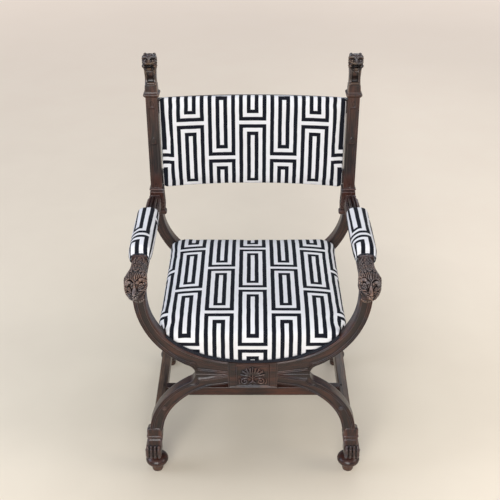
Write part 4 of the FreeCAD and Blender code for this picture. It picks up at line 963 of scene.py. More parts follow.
def backrest_give(p):
    """A quarter behind; in front growing from the edges inwards, and nothing against the posts."""
    x, y, z = leaned(p, -lean).T
    rear = y > 493 + 24.5 * bow(x)
    near = np.minimum(np.minimum(z - 657, 937 - z), 259 - np.abs(x))
    return np.where(rear, 0.25, 0.35 + 0.65 * step(near, 0, 40)) * step(261 - np.abs(x), 0, 12)


def backrest_cloth(p):
    """u along the width, v up the front and down the back."""
    x, y, z = leaned(p, -lean).T
    rear = step(y - (493 + 24.5 * bow(x)), -10, 10)
    return xyz(x, z * (1 - rear) + (2 * 940 - z) * rear - 8, 0.0)


stuffed("backrest_upholstery", backrest_shells(), 5, 6, 3, backrest_give, backrest_cloth, "backrest_pad",
        "backrest_rear_cover")

# %% [markdown]
# An arm pad is a long cushion that wraps the rail. Its cloth is gathered at the front, round the lion's neck,
# where it falls in folds that fan out over the end. The rail stays inside: the pad's underside is open over it,
# so the shell is a thick horseshoe.

# %% Arm pads
rail_x, rail_z, rail_top = 292, 623, 640


def arm_pad_shells():
    """Rings along the depth: a horseshoe round the rail whose crown sinks and narrows at both ends. At the front
    its lower edges are drawn up, and a cosine round the ring gathers it into pleats."""
    t = np.concatenate([np.linspace(0, 0.14, 30), np.linspace(0.14, 1, 50)[1:]])[:, None]
    y = 112.8 + 251.2 * t
    front, back = np.clip((y - 112.8) / 27, 0, 1), np.clip((364 - y) / 30, 0, 1)
    swell, tail = np.sqrt(1 - (1 - front) ** 2), np.sin(back * np.pi / 2) ** 1.3
    half_x = (22.3 + 7.4 * swell) * (0.92 + 0.08 * tail)
    rise = (13.5 + 17 * np.sqrt(1 - (1 - np.clip((y - 112.8) / 24, 0, 1)) ** 2)) * (0.42 + 0.58 * tail)
    hang = 9 + 15 * swell
    a = np.radians(np.linspace(-52, 232, 150))
    c, s, power = np.cos(a), np.sin(a), 2 / 3
    pleat = 1 + 0.05 * np.cos(17 * a) * np.clip((146 - y) / 33, 0, 1) ** 1.5 * (np.abs(s) > 0.02)
    out_x = np.sign(c) * np.abs(c) ** power * half_x * pleat
    up = np.where(s > 0, np.abs(s) ** power * rise * pleat, -np.abs(s) ** 1.2 * hang)
    set_back = 13 * np.clip(s, 0, 1) ** 0.8 * (1 - t) ** 4
    under = np.where(s > 0, 1.0, -np.abs(s) ** 1.2 * hang)
    outer = xyz(rail_x + out_x, y + set_back, rail_top + up)
    inner = xyz(rail_x + np.clip(out_x, -21.6, 21.6), y + set_back, rail_top + under)
    return [skin(np.concatenate([outer, inner[:, ::-1]], 1))]


def arm_pad_give(p):
    """Full on the crown, nothing at both tied ends, below the rail's top and close to the rail."""
    x, y, z = np.abs(p[:, 0]) - rail_x, p[:, 1], p[:, 2]
    return (step(z, 626, 640) * step(y, 124, 152) * step(364.5 - y, 0, 24)
            * (np.hypot(x, z - rail_top) > 23))


def arm_pad_cloth(p):
    """u across the crown and down both sides, v along the arm; at the front end v runs down the face."""
    x, y, z = (np.abs(p[:, 0]) - rail_x) * np.sign(p[:, 0]), p[:, 1], p[:, 2]
    down = np.maximum(0, 664 - z) * step(np.abs(x), 22, 28)
    front = np.maximum(0, 126 - y) * 0.4 + np.maximum(0, 668 - z) * step(124 - y, 0, 10)
    return xyz(np.sign(x) * (np.abs(x) + down) + 18, y - front + 22, 0.0)


for side, flip in sides.items():
    stuffed(f"arm_upholstery_{side}", flip(arm_pad_shells()), 3, 3, 2, arm_pad_give, arm_pad_cloth,
            f"arm_pad_{side}")

# %% [markdown]
# A back post is one stick with a turned look on a square plan: a moulding, a carved block, a capital and a
# long shaft. All of it is rings of rounded squares. A sunk panel runs up the front of the shaft, broken half
# way by a small tongue. The depth of the sinking is a product of two steps, one across and one along.

# %% Back posts
def rows_of(table, spacing):
    """Rows read straight between table rows, at every table place and about every spacing."""
    table = np.asarray(table, float)
    z = np.unique(np.concatenate([np.linspace(a, b, max(2, int(abs(b - a) / spacing) + 2))
                                  for a, b in zip(table[:-1, 0], table[1:, 0])]))
    return z, [np.interp(z, table[:, 0], table[:, i]) for i in range(1, table.shape[1])]


def leaf(foot, tip, side, lobes, width, lift):
    """An acanthus leaf as strokes on a plane: a midrib and pairs of curved lobes that shrink to the tip.
    Points are foot + t (tip - foot) + s side, with side a vector across the leaf."""
    strokes = [tapered(foot + np.linspace(0, 1, 24)[:, None] * (tip - foot), width * 0.2, lift, 1, 0.5)]
    s = np.linspace(0, 1, 14)[:, None]
    for i in range(lobes):
        t = (i + 0.2) / lobes
        size = 1 - 0.55 * t
        for way in (-1, 1):
            along = (t + 0.9 / lobes * s ** 1.6 * 1.3) * (tip - foot)
            line = foot + along + way * size * side * np.sin(s * np.pi / 2)
            strokes.append(tapered(line, width * 0.24 * size + 0.4, lift * (0.6 + 0.4 * size), 0.8, 0.5))
    return strokes


def post_shells():
    """Rings up the post; the shaft's front is sunk between two steps, and the block gets a leaf on each face."""
    table = [(575, 20, 18, 1), (576.5, 22.5, 19.6, 1), (578, 24, 20.4, 1.5), (580, 26, 21, 2), (586.5, 26, 21, 2),
             (588, 24.5, 20.2, 1.5), (589, 22, 19, 1), (592, 20, 18, 1), (640, 20, 18, 1), (648, 20, 18, 1),
             (649.4, 19.2, 17.2, 1), (650, 16.8, 15.4, 1), (653.8, 16.8, 15.4, 1), (654.4, 20, 18.6, 1.2),
             (655.2, 20.8, 19.4, 1.4), (657.2, 20.8, 19.4, 1.4), (658.2, 19.6, 18.4, 1.2), (660.5, 16.6, 16.1, 1),
             (665, 16.5, 16, 1), (935, 16.5, 16, 1)]
    z, (half_x, half_y, radius) = rows_of(table, 2.2)
    z, (u, v) = z[:, None], squared(half_x, half_y, radius, 22, 3)
    rings, across = xyz(post_x + u, post_y + v, z), np.abs(u)

    def within(half):
        return step(half - across, 0, 1.2)

    def window(low, high, half=9.6):
        return within(half) * step(z - low, 0, 44) * step(high - z, 0, 1.2)

    tongue, tip, cap_tip = bump(z, 806, 11) * 7.5, bump(z, 916, 9) * 5.5, bump(z, 668, 7) * 6
    sunk = window(684, 798) + window(815, 905) + within(tip) * 0.9 + within(cap_tip) * 0.7
    sunk = sunk - 0.5 * within(tongue) * (window(795, 817, 16) > 0)
    groove = step(1.1 - np.abs(across - 13), 0, 0.7) * step(z - 672, 0, 2) * step(926 - z, 0, 2) * 0.5
    rings[..., 1] += (v < 0.3 - half_y[:, None]) * (2.0 * sunk + groove)
    strokes = []
    for foot, tip, side, *size in (((0, 473.2, 594), (0, 472.2, 641), (14, 0, 4), 4, 11, 3.4),
                                   ((-14, 473.2, 594), (-17, 473.2, 625), (5, 0, 5), 3, 7, 2.4),
                                   ((14, 473.2, 594), (17, 473.2, 625), (5, 0, 5), 3, 7, 2.4),
                                   ((-20.2, 490, 594), (-20.6, 486, 641), (0, 13, 4), 4, 10, 2.6),
                                   ((20.2, 490, 594), (20.6, 486, 641), (0, 13, 4), 4, 10, 2.6),
                                   ((0, 509.2, 594), (0, 509.6, 641), (13, 0, 4), 4, 10, 2.4)):
        strokes += leaf(np.add(foot, (post_x, 0, 0)), np.add(tip, (post_x, 0, 0)), np.array(side), *size)
    rings = carved(rings, strokes)
    reach = 20.2 + 6 * step(489 - rings[..., 1], -3, 3) + 20 * (z > 591)
    rings[..., 0] = post_x + np.clip(rings[..., 0] - post_x, -reach, reach)
    return [skin(np.where(rings[..., 2:] > shaft_foot, leaned(rings), rings), rings[..., [2, 0, 1]])]


# %% [markdown]
# The finials are lions that sit on a collar: a broad face with ears, brows and a blunt muzzle, a mane that
# hangs as a beard, and a throat with a sunk panel that rolls out at its foot. The mouth is open, so the last
# rings turn back into the head, and the lower jaw is set back under them.

# %% Finials
def beside_post(line, way):
    """A line measured from the post's middle plane, on one side of it."""
    return line * (way, 1, 1) + (post_x, 0, 0)


def finial_shells():
    """A collar of mouldings, a throat with a sunk panel that rolls out at its foot, and the head."""
    table = [(935, 17.2, 1.5), (936.5, 18.4, 2), (938.5, 20.6, 3), (940, 21.8, 3.2), (941.6, 22.3, 3.4),
             (944.5, 22.3, 3.4), (946, 21.4, 3), (947, 20, 2), (948, 18.6, 1.6), (950.6, 17.8, 1.4),
             (951, 17.6, 1.4), (958.5, 17.3, 1.4), (969, 16.6, 1.4)]
    z, (half, radius) = rows_of(table, 1.0)
    u, v = squared(half, half, radius, 18, 3)
    collar = xyz(post_x + u, post_y + v, z[:, None])
    t = np.linspace(0, 1, 90)
    back, wide, deep = eased([(0, 0, 1, 1.05), (.3, .08, .96, .8), (.6, .04, 1, .95), (1, 0, 1.1, 1.2)], t).T
    u, v = squared(16.4 * wide, 13.5 * deep, 3, 22, 4)
    z = (966 + 68 * t)[:, None]
    throat = xyz(post_x + u, post_y + 27 * back[:, None] + v, z)
    panel = step(9.4 - np.abs(u), 0, 1.4) * step(z, 976, 978) * step(1014 - z, 0, 2)
    throat[..., 1] += (v < 0.6 - (13.5 * deep)[:, None]) * panel * (1.8 + 5.2 * step(-z, -1000, -981))
    bar = [(0, np.linspace((-8.6, 479, 974.5), (8.6, 479, 974.5), 20), 3.4, 2.2)]
    edge = [(0, np.linspace((12.6, 478, 972), (12.6, 478, 1012), 20), 2.6, 1.3)]
    throat = carved(throat, drawn(bar, beside_post) + drawn(edge, beside_post, (-1, 1)))
    return [skin(leaned(part), part[..., [2, 0, 1]]) for part in (collar, throat)] + [finial_head()]


def finial_head():
    """Rings from the back of the head to the open jaws, then strokes for ears, brows, lips, locks and beard."""
    table = [(0, .40, .38, 0), (.05, .66, .60, 0), (.14, .88, .82, 0), (.30, .98, .96, 0), (.50, 1, 1, 0),
             (.62, .98, .97, -.01), (.72, .90, .90, -.03), (.80, .72, .78, -.07), (.88, .62, .66, -.10),
             (.95, .54, .60, -.11), (1, .38, .46, -.11)]
    t = np.concatenate([np.linspace(0, 0.6, 60), np.linspace(0.6, 1, 60)[1:]])
    wide, high, up = eased(table, t).T[..., None]
    s, c = oval(120, 2.8)
    rings = xyz(post_x + 18.3 * wide * s, (509 - 50 * t)[:, None], 1033 + 52 * up + 23 * high * c)
    mouth = [(30, [(-10, 466, 1026), (-6, 461, 1028.5), (0, 458.5, 1029.5), (6, 461, 1028.5), (10, 466, 1026)],
              6.4, -7.5)]
    eye_pits = [(16, [(4.2, 470, 1044.5), (8.5, 470.5, 1045.5), (13.5, 474, 1043)], 3.8, -4.2)]
    middle = [(24, [(0, 473, 1049), (0, 465.5, 1044), (0, 459.5, 1038.5)], 3.9, 2.8),
              (16, [(-5.5, 462.5, 1018.5), (0, 459.5, 1017.5), (5.5, 462.5, 1018.5)], 3.0, 1.4)]
    half = [(20, [(12.5, 497, 1051), (15.5, 492, 1055), (17, 486, 1053), (17.5, 481, 1049)], 4.4, 4.6),
            (8, [(15.5, 484, 1054), (16.5, 481, 1051)], 2.0, -3.4),
            (24, [(1.5, 470.5, 1049), (7.5, 471, 1051.5), (13.5, 475, 1049.5), (17.5, 482, 1043.5)], 2.6, 3.8),
            (8, [(7.0, 471.5, 1044.4), (10, 472.5, 1044.4)], 1.9, 3.2),
            (24, [(0.6, 458.5, 1035.6), (5.5, 459.8, 1037), (9.5, 464.5, 1037), (13.5, 471, 1038.5)], 2.5, 3.6),
            (16, [(9.5, 467.5, 1041), (14, 473, 1040), (17.5, 480, 1037)], 2.4, 2.6),
            (16, [(9.5, 465, 1020), (12.5, 468.5, 1026), (13, 471, 1032)], 2.2, 2.6),
            (0, [(15.2, 474, 1025.5)], 5.2, 4.4), (0, [(16.8, 472.2, 1025.5)], 1.6, -3.6),
            (14, [(1.6, 474, 1054), (5, 478, 1056), (9, 484, 1056)], 2.4, 2.6, 0.7, 0.4)]
    for a in np.radians(12 + 27 * np.arange(7)):
        start = np.array([14.2 + 3.4 * np.sin(a), 482, 1033 + 14.5 * np.cos(a)])
        end = start + (2.2 * np.sin(a) + 0.6, 13, 5 * np.cos(a) - 4)
        half += [(16, [start, (start + end) / 2 + (1.2, 0, 0), end], 2.8, 3.2, 0.8, 0.4),
                 (14, [end - (0, 4, 0), end + (-1.5, 5, -3), end + (-3.5, 10, -4)], 2.8, 2.8, 0.8, 0.4)]
    half += [(20, [(1.8 + 3.9 * i, 464 + 1.9 * i, 1016 + i), (2.0 + 3.9 * i, 466.5 + 1.9 * i, 1010),
                   (1.8 + 3.2 * i, 471 + 1.8 * i, 1003 + 1.5 * i)], 2.1, 3.4, 0.9, 0.5) for i in range(4)]
    rings = carved(rings, drawn(mouth, beside_post) + drawn(eye_pits, beside_post, (-1, 1)))
    rings = carved(rings, drawn(middle, beside_post) + drawn(half, beside_post, (-1, 1)))
    x, z = rings[-1, :, 0], rings[-1, :, 2]
    inwards = [xyz(post_x + (x - post_x) * w, 459.6 + back, 1027.5 + (z - 1027) * h)
               for w, h, back in ((0.92, 0.50, 0.0), (0.84, 0.42, 3.0), (0.66, 0.30, 8.0), (0.4, 0.16, 10.0))]
    rings = np.concatenate([rings, inwards])
    near_jaw = np.append(step(t, 0.84, 1), np.ones(len(inwards)))[:, None]
    rings[..., 1] += 7 * step(-rings[..., 2], -1025, -1019) * near_jaw
    return skin(leaned(rings), rings[..., [1, 0, 2]])


for side, flip in sides.items():
    put(f"back_post_{side}_carved", flip(post_shells()), dark_walnut, f"back_post_{side}")
    put(f"lion_finial_{side}_carved", flip(finial_shells()), finial_walnut, f"lion_finial_{side}")

# %% [markdown]
# The square block where the arches cross carries a plaque of leaves. The plaque is a plate whose front is
# worked out on a grid: leaves fan out upwards from the middle of the lower edge, scrolls roll out below them,
# and everything is doubled left and right.

# %% Centre blocks and plaque
def plate(x, z, front, back):
    """A closed plate: at each x a ring up over the front and down over the back."""
    return xyz(x, np.concatenate([front, np.full_like(front, back)], 1), np.concatenate([z, z[..., ::-1]], -1))


def plaque_shells():
    """A grid of depths: leaves in a fan, scrolls below them, a rim all round and a stippled ground."""
    wide, low, high = 43.4, 315.6, 385.4
    x, z = np.linspace(-wide, wide, 132)[:, None], np.linspace(low, high, 108)
    spiral = np.linspace(0, 2.6 * np.pi, 60)
    radius = 11.0 * (1 - spiral / (2.6 * np.pi) * 0.76)
    scroll = xyz(21 - np.cos(spiral + 0.9) * radius, 334 + np.sin(spiral + 0.9) * radius * 0.95)
    half = [(24, [(2.5, 347), (9, 351.5), (15, 352.5), (21, 350)], 2.2, 5.0, 0.7, 0.5),
            (0, scroll, 2.4, 4.8, 0.9, 0.8), (0, [(21, 334)], 2.8, 4.6),
            (24, [(7, 341), (13, 344.5), (20, 346), (30, 345)], 1.8, 4.0, 0.6, 0.4),
            (24, [(33, 324), (36, 332), (35, 342)], 2.2, 3.6, 0.7, 0.4),
            (24, [(2, 333), (5.5, 330.5), (9, 326)], 2.4, 5.2, 0.9, 0.5),
            (24, [(2.5, 322), (9, 320.5), (16, 320)], 1.6, 3.0, 0.9, 0.5)]
    for angle, length, width in ((13, 27, 3.0), (35, 29, 3.4), (57, 31, 3.4), (79, 31, 3.0)):
        s, c = np.sin(np.radians(angle)), np.cos(np.radians(angle))
        tip, base, bend = np.array([s, c]) * length, np.array([s * 5, 352 + c * 4]), np.array([c, -s]) * 4
        end = tip + (0, 350.5)
        half.append((24, [base, (base + (0, 352) + tip) / 2 + bend * 0.7, end], width + 1.0, 4.8, 0.5, 0.5))
        for at in (base + (end - base) * 0.5, base + (end - base) * 0.8):
            side = [at, at + bend * 0.9 + (end - base) * 0.08, at + bend * 1.3 + (end - base) * 0.2]
            half.append((12, side, 1.6, 3.4, 0.9, 0.5))
    middle = [(24, [(0, 338), (0, 356), (0, 379)], 2.6, 5.0, 0.8, 0.5), (0, [(0, 334), (0, 337)], 3.4, 5.6)]
    strokes = drawn(half, lambda line, way: line * (way, 1), (-1, 1)) + drawn(middle)
    height = lifts(xyz(x, z).reshape(-1, 2), strokes).reshape(len(x), len(z))
    rim = np.minimum(np.minimum(wide - np.abs(x), high - z), z - low)
    height = height * step(rim, 0.5, 3.5) + 1.6 * step(2.6 - rim, 0, 1.2)
    speckle = 0.25 * np.sin(x * 2.6) * np.sin(z * 2.9)
    rings = plate(x, z, 0.4 - height - speckle * (height < 0.3), 4.0)
    return [skin(rings, rings[..., [0, 2, 1]])]


def block_shells():
    """Block with a sunk field behind the plaque, mouldings above and below it, and a hollowed top."""
    x = np.linspace(-block_edge, block_edge, 132)[:, None]
    z = 310 + (superellipse(*opening, x) - 310) * np.linspace(0, 1, 84)
    front = 4.0 * (step(44.6 - np.abs(x), 0, 0.6) * step(z, 314.4, 315.6) * step(388.2 - z, 0, 1.2))
    front = front - bump(z, 312.4, 1.6) * 1.3 * step(64 - np.abs(x), 0, 1) + bump(np.abs(x), 61.5, 1.1) * 0.9
    rings = plate(x, z, front, 32.0)
    return [skin(rings, rings[..., [0, 2, 1]])]


put("front_centre_block_carved", block_shells(), dark_walnut, "front_centre_block")
put("rear_centre_block_carved", behind(block_shells()), dark_walnut, "rear_centre_block")
put("centre_plaque", plaque_shells(), dark_walnut, "front_carved_panel")

# %% [markdown]
# An H of three squared rails ties the legs. Their long edges waver a little, as old ones do, and the side
# rails end in tenons that run into the legs.

# %% Stretchers
def rail(axis, low, high, middle, half, radius):
    """A squared rail along an axis; its edges waver by a fraction of a millimetre, as old ones do."""
    t = np.linspace(low, high, int((high - low) / 5) + 2)[:, None]
    u, v = squared(*half, radius + 0.25 * np.sin(t * 0.31) * np.sin(t * 0.083 + 1), 8, 4)
    along = xyz(t, middle[0] + u, middle[1] + v)
    return skin(along[..., [1, 0, 2]] if axis == "y" else along, along)


for side, flip in sides.items():
    body = [rail("y", 32, 475, (258.6, 179), (13.4, 17), 3), rail("y", 16, 34, (260, 179), (5.4, 10), 1),
            rail("y", 473, 491, (260, 179), (5.4, 10), 1)]
    put(f"side_stretcher_{side}_worn", flip(body), lit_stretcher_walnut, f"side_stretcher_{side}")
put("cross_stretcher_worn", [rail("x", -248, 248, (147, 181), (11, 15), 3)], warm_walnut, "cross_stretcher")

# %% [markdown]
# The arms run from the post to a lion's head that juts over the front arch. The rail narrows at the post,
# where leaves are cut over its end.

# %% Arm rails
def arm_rail_shells():
    """Rings back along the rail, leaves cut over the top and both sides of its rear end, and a peg at each end."""
    table = [(112, 20.6, 20.6, 9.5), (118.4, 20.6, 20.6, 11.5), (119, 21, 21, 0), (364, 21, 21, 0),
             (384, 21, 16, 0.4), (400, 21, 12.5, 0.8), (432, 21, 11.5, 1.4), (455, 21, 11.5, 0.8), (473, 21, 9, 0)]
    y, columns = rows_of(table, 2.5)
    inner, outer, rise = np.array(columns)[..., None]
    u, v = squared((inner + outer) / 2, 17 + rise / 2, 6, 26, 5)
    rings = xyz(rail_x + (outer - inner) / 2 + u, y[:, None], rail_z + rise / 2 + v)
    rows = [(30, [(297, 455, 641), (299, 417.5, 641.5), (299, 380, 640.5)], 3.4, 5.2, 0.75, 0.7),
            (30, [(289, 458, 641), (291.25, 418, 641.5), (291.5, 378, 640.5)], 4.2, 5.2, 0.75, 0.7),
            (30, [(279.5, 456, 641), (280.75, 418, 641.5), (280, 380, 640.5)], 3.8, 5.2, 0.75, 0.7),
            (24, [(293, 452, 641), (295, 382, 641)], 1.6, -4.4, 0.9, 0.8),
            (24, [(284.2, 454, 641), (285.6, 382, 641)], 1.6, -4.4, 0.9, 0.8),
            (24, [(274.5, 452, 641), (274.5, 384, 641)], 1.6, -4.4, 0.9, 0.8),
            (20, [(271, 463, 640.5), (286, 465, 641), (301, 463, 640.5)], 2.6, 3.2)]
    for x in (271, 304):
        rows += [(26, [(x, 456, z), (x, 420, z + 1), (x, 382, z - 1)], 4.2, 3.8, 0.8, 0.7)
                 for z in (632.5, 622, 612)]
        rows += [(24, [(x, 454, z), (x, 384, z)], 1.3, -3.0, 0.9, 0.8) for z in (627.2, 617)]
    rings = carved(rings, drawn(rows))
    return [skin(rings, rings[..., [1, 0, 2]]), rail("y", 96, 114, (288.5, rail_z), (5.4, 8.8), 1),
            rail("y", 471, 490, (286.2, rail_z), (5.4, 8.8), 1)]


# %% [markdown]
# The head is rings along the arm, from the muzzle to the maned neck. Each feature is a stroke drawn in shares
# of the way along and turns round the head, with its mirror image: eye rings, brows, nose, lips, whisker pads,
# and rows of locks that start behind the face and run back.

# %% Arm lions
def smooth_on(rings, along, around):
    """Points of the rings at shares along and turns round, read in straight lines between four neighbours."""
    rows, count = rings.shape[:2]
    u, v = np.clip(along * (rows - 1), 0, rows - 1.001), around * count
    i, j = np.floor(u).astype(int), np.floor(v).astype(int)
    a, b = (u - i)[:, None], (v - j)[:, None]
    return ((rings[i, j % count] * (1 - b) + rings[i, (j + 1) % count] * b) * (1 - a)
            + (rings[i + 1, j % count] * (1 - b) + rings[i + 1, (j + 1) % count] * b) * a)


def lion_rings():
    """Rings from the muzzle back: half width, half height and middle eased along, superellipse round."""
    table = [(0, 5, 3.5, 622.5), (.02, 8, 6, 622.5), (.06, 11.5, 9, 622.5), (.10, 14.5, 11.8, 622.8),
             (.15, 18.5, 16, 625), (.20, 21.5, 20.3, 627.5), (.27, 24.2, 24.5, 630), (.34, 25, 26.5, 631.5),
             (.42, 24.6, 26, 633), (.50, 23, 24, 633.5), (.60, 21.4, 21, 632), (.72, 20.6, 18.5, 630),
             (.86, 20.4, 19.5, 628.5), (1, 20.8, 24, 628)]
    t = np.linspace(0, 1, 196)[:, None]
    wide, high, middle = eased(table, t[:, 0]).T[..., None]
    s, c = oval(216, 2.35)
    drawn_up = 0.36 * step(s, 0.42, 0.9) * (c < 0) * (step(t, 0.03, 0.12) * (1 - step(t, 0.36, 0.52)))
    return xyz(290.5 - 2.5 * np.clip(0.12 - t, 0, 1) / 0.12 + wide * s, -38 + 150 * t,
               middle + high * c * (1 - drawn_up))


def lion_shells():
    """Pits for the eyes, cheeks and mouth come first, and the strokes afterwards lie on what they leave. Points
    are (share of the way along, turns round), and each row is drawn on both sides of the head."""
    def on_head(line, way):
        """The face looks a little outwards: its features slide along by a share of their turn round the head."""
        along, around = line.T
        return smooth_on(rings, along - 0.26 * way * around * (along < 0.3), way * around)

    pits = [(14, [(0.150, 0.105), (0.172, 0.125), (0.190, 0.145)], 9.0, -4.4),
            (14, [(0.150, 0.030), (0.100, 0.065), (0.045, 0.110)], 5.0, -3.0),
            (14, [(0.214, 0.060), (0.218, 0.115), (0.205, 0.165)], 3.2, -2.4),
            (14, [(0.012, 0.0), (0.014, 0.12), (0.030, 0.2)], 2.6, -2.0)]
    nose, tip = xyz(np.linspace(0.168, 0.038, 30), 0.0), xyz(np.linspace(0.06, 0.036, 8), 0.0)
    middle = [(0, nose, np.linspace(2.4, 5.2, 30), np.linspace(2.6, 5.0, 30)), (0, tip, 6.4, 2.0),
              (0, [(0.186, 0), (0.196, 0), (0.206, 0)], 2.6, 3.6)]
    half = [(4, [(0.036, 0.035), (0.034, 0.055)], 1.5, -2.6),
            (26, [(0.150, 0.040), (0.100, 0.078), (0.050, 0.130)], 1.6, -3.4),
            (26, [(0.026, 0.03), (0.026, 0.10), (0.046, 0.17)], 2.6, 3.0),
            (26, [(0.060, 0.105), (0.085, 0.135), (0.088, 0.180), (0.120, 0.215)], 3.2, 4.6),
            (26, [(0.040, 0.150), (0.060, 0.180), (0.090, 0.215), (0.130, 0.235)], 3.0, 3.8),
            (8, [(0.075, 0.150), (0.088, 0.200)], 1.2, -2.2),
            (26, [(0.152, 0.085), (0.146, 0.120), (0.156, 0.160), (0.182, 0.180)], 2.0, 3.4),
            (26, [(0.130, 0.090), (0.122, 0.135), (0.136, 0.180), (0.170, 0.205)], 1.6, 2.6),
            (26, [(0.178, 0.092), (0.190, 0.115), (0.188, 0.142), (0.172, 0.160)], 2.6, 4.8),
            (8, [(0.168, 0.110), (0.172, 0.128), (0.168, 0.145)], 3.0, 5.2),
            (3, [(0.166, 0.126), (0.168, 0.130)], 1.1, -2.4),
            (26, [(0.190, 0.030), (0.222, 0.055), (0.250, 0.100), (0.240, 0.150), (0.205, 0.190)], 3.4, 6.0),
            (26, [(0.212, 0.014), (0.254, 0.050), (0.278, 0.105), (0.262, 0.165), (0.225, 0.205)], 1.6, -3.0),
            (26, [(0.222, 0.010), (0.272, 0.048), (0.300, 0.110), (0.282, 0.175), (0.240, 0.220)], 2.6, 4.4),
            (26, [(0.345, 0.140), (0.372, 0.168), (0.360, 0.198), (0.326, 0.190)], 3.6, 5.6),
            (5, [(0.338, 0.166), (0.348, 0.176)], 3.0, -3.6)]
    for i, (a, b) in enumerate(((0.0, 0.0), (0.026, 0.022), (0.050, 0.046), (0.078, 0.074))):
        u, w = 0.232 + 0.018 * i, 0.41 - 0.008 * i
        half += [(26, [(u, a), (0.31, b + 0.004), (w, b + 0.014)], 2.8, 5.0, 0.6, 0.35),
                 (26, [(u + 0.008, a + 0.013), (0.31, b + 0.017), (w - 0.01, b + 0.027)], 1.0, -2.8, 0.6, 0.35)]
    for i in range(5):
        a, b, c = 0.115 + 0.034 * i, 0.004 * i, 0.006 * i
        rows = [([(a, 0.225 + b), (a + 0.03, 0.262), (a + 0.075, 0.292 + c), (a + 0.13, 0.305)], 4.6),
                ([(a - 0.01, 0.31 + b), (a + 0.03, 0.350), (a + 0.085, 0.378), (a + 0.14, 0.385)], 4.4),
                ([(a - 0.02, 0.40), (a + 0.03, 0.435), (a + 0.09, 0.455), (a + 0.15, 0.46)], 3.8)]
        half += [(26, line, 3.0, height, 0.7, 0.35) for line, height in rows]
    for i in range(6):
        v, lock = 0.125 + 0.021 * i, 0.292 - 0.012 * i
        half.append((26, [(lock, v), (0.335 - 0.006 * i, v + 0.020), (0.400, v + 0.026)], 2.4, 4.6, 0.7, 0.4))
    for start, length, count, width, height, shift in (
            (0.335, 0.150, 9, 4.6, 4.6, 0.5), (0.44, 0.160, 8, 4.4, 4.2, 0.0), (0.55, 0.150, 8, 4.0, 3.6, 0.5),
            (0.65, 0.14, 7, 3.6, 3.0, 0.0), (0.75, 0.13, 7, 3.4, 2.6, 0.5), (0.85, 0.12, 6, 3.2, 2.2, 0.0)):
        for i in range(count + 1):
            v, sway = (i + shift) / (count + 0.5) * 0.5, 0.022 if i % 2 else -0.022
            if start < 0.34 and v < 0.09:
                continue
            lock = np.array([(start, v), (start + length * 0.35, v + sway), (start + length * 0.75, v + sway * 0.2),
                             (start + length, v - sway * 0.8)])
            half += [(26, lock, width, height, 0.8, 0.3), (26, lock + (0.004, 0.001), 0.9, -1.3, 0.8, 0.3)]
    rings = lion_rings()
    rings = carved(rings, drawn(pits, on_head, (-1, 1)))
    rings = carved(rings, drawn(middle, on_head) + drawn(half, on_head, (-1, 1)))
    return [skin(rings, rings[..., [1, 0, 2]])] + beard_shells()


def beard_shells():
    """Beard under the chin: rings down from the jaw, drawn to a curled leaf in front of the arch."""
    table = [(0, 15.5, 15, -15.5), (.3, 15, 11, -12.5), (.55, 13.5, 7.5, -9.0), (.8, 10.5, 5.5, -6.4),
             (.93, 7, 4.5, -5.4), (1, 3, 3, -4.8)]
    t, x0 = np.linspace(0, 1, 70), 283.5
    half_x, half_y, y = eased(table, t).T[..., None]
    s, c = oval(90, 2.4)
    rings = xyz(x0 + half_x * s, y + np.minimum(half_y, -y - 0.4) * c, (614 - 23 * t)[:, None])
    rows = [(26, [(x0 + i * 4.4, -28 + abs(i) * 2.2, 611), (x0 + i * 4.9, -23 + abs(i) * 2, 604),
                  (x0 + i * 3.6, -16 + abs(i), 598), (x0 + i * 2.0, -10, 592)], 2.6, 3.0, 0.9, 0.6)
            for i in range(-3, 4)]
    rows.append((16, [(275, -9, 591.5), (x0, -11.5, 590.5), (292, -9, 591.5)], 2.6, 2.4))
    return [skin(carved(rings, drawn(rows)), rings[..., [2, 0, 1]])]


for side, flip in sides.items():
    put(f"arm_rail_{side}_carved", flip(arm_rail_shells()), dark_walnut, f"arm_rail_{side}")
    put(f"arm_lion_{side}_carved", flip(lion_shells()), handled_highlit_walnut, f"arm_lion_{side}")

# %% [markdown]
# A dark braid hides the tacks where cloth meets wood. It is really plaited: three flat strands that follow the
# same line, each swinging from side to side a third of a turn after the last one, and passing over and under.

# %% Braid
def plait(line, side, out, width=3.1, pitch=9.0):
    """Three strands along a line: offset sideways by width * sin, and outwards by the cos of twice the phase."""
    run = running(line)
    at = np.linspace(0, run[-1], int(run[-1] / 0.9))
    centre, side, out = (read_at(at, run, np.broadcast_to(v, line.shape)) for v in (line, side, out))
    a, at = np.arange(7) / 7 * 2 * np.pi, at[:, None]
    u, v = 1.9 * np.cos(a), 0.95 * np.sin(a)
    shells = []
    for k in range(3):
        phase = at / pitch * 2 * np.pi + k * 2 * np.pi / 3
        path = centre + side * (width * np.sin(phase)) + out * (1.0 + 0.65 * np.cos(2 * phase))
        rings = path[:, None] + side[:, None] * u[:, None] + out[:, None] * v[:, None]
        shells.append(skin(rings, xyz(at, u, v)))
    return shells


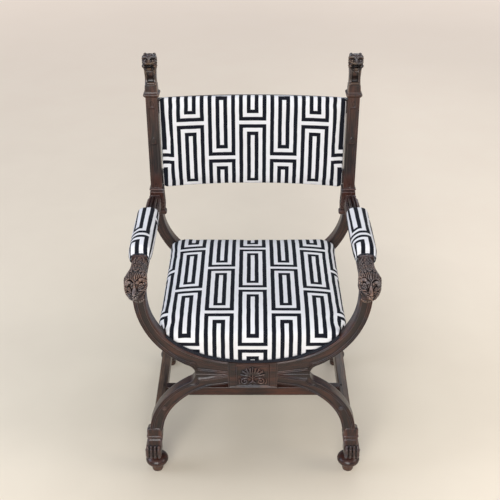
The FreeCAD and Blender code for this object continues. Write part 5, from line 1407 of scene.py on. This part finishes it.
def arch_gimp(z_top):
    """Along the arches' opening, 5.6 mm in from its edge, from one top end round to the other."""
    x = np.sin(np.linspace(-np.pi / 2, np.pi / 2, 300)) * opening_half(z_top, 5.6)
    line = xyz(x, 3.4, opening_bottom(x, 5.6))
    way = np.gradient(line, axis=0)
    way /= np.linalg.norm(way, axis=1, keepdims=True)
    return plait(line, np.cross(way, (0, -1, 0)), (0, -1, 0))


def side_gimp():
    """Straight back along the lower edge of the cloth on the seat's side."""
    return plait(xyz(232.2, np.linspace(33, 474, 60), 415.0), (0, 0, 1), (1, 0, 0))


def pad_gimp():
    """Round the front end of an arm pad, on the same arc as its shell."""
    a = np.radians(np.linspace(-40, 220, 90))
    c, s = np.cos(a), np.sin(a)
    out = xyz(np.sign(c) * np.abs(c) ** (2 / 3), 0.0, np.where(s > 0, np.abs(s) ** (2 / 3), s))
    line = xyz(rail_x + out[:, 0] * 22.2, 111.5 + 13 * np.clip(s, 0, 1) ** 0.8,
               rail_top + np.where(s > 0, out[:, 2] * 10.5, s * 9))
    out /= np.linalg.norm(out, axis=1, keepdims=True)
    return plait(line, (0, 1, 0), out, 2.6, 8.0)


for side, flip in sides.items():
    put(f"arm_gimp_{side}_plaited", flip(pad_gimp()), dark_braid, slot="dark_braid", edges=False)
for place, shells in {"front": arch_gimp(478.0), "rear": behind(arch_gimp(468.0)), "right": side_gimp(),
                      "left": mirrored(side_gimp())}.items():
    put(f"seat_gimp_{place}_plaited", shells, dark_braid, f"seat_gimp_{place}", slot="dark_braid", edges=False)

# %% [markdown]
# The hidden pieces keep the joiner's own solids and only need a finish: beech rails, boards and dowels, walnut
# rails in the back and walnut pegs, jute webbing and hessian, a black dust cover and steel screws. Where a
# name holds several of the words, the last one counts.

# %% Finishes for the solids that stay
plain_walnut = walnut("plain_walnut", (0.007, 0.004, 0.004), (0.017, 0.008, 0.007), (0.05, 0.019, 0.012),
                      (0.1, 0.05, 0.03), own_grain=False)
finishes = {"rail": inner_beech, "board": inner_beech, "block": inner_beech, "dowel": inner_beech,
            "backrest": plain_walnut, "peg": plain_walnut, "webbing": jute, "hessian": jute,
            "dust_cover": black_cloth, "screws": steel.material}
for name, solid in sorted(nodes.items()):
    for finish in [finish for word, finish in finishes.items() if word in name]:
        for slot in solid.material_slots:
            slot.material = finish
print("solids with a finish of their own:", sum(any(word in name for word in finishes) for name in nodes))
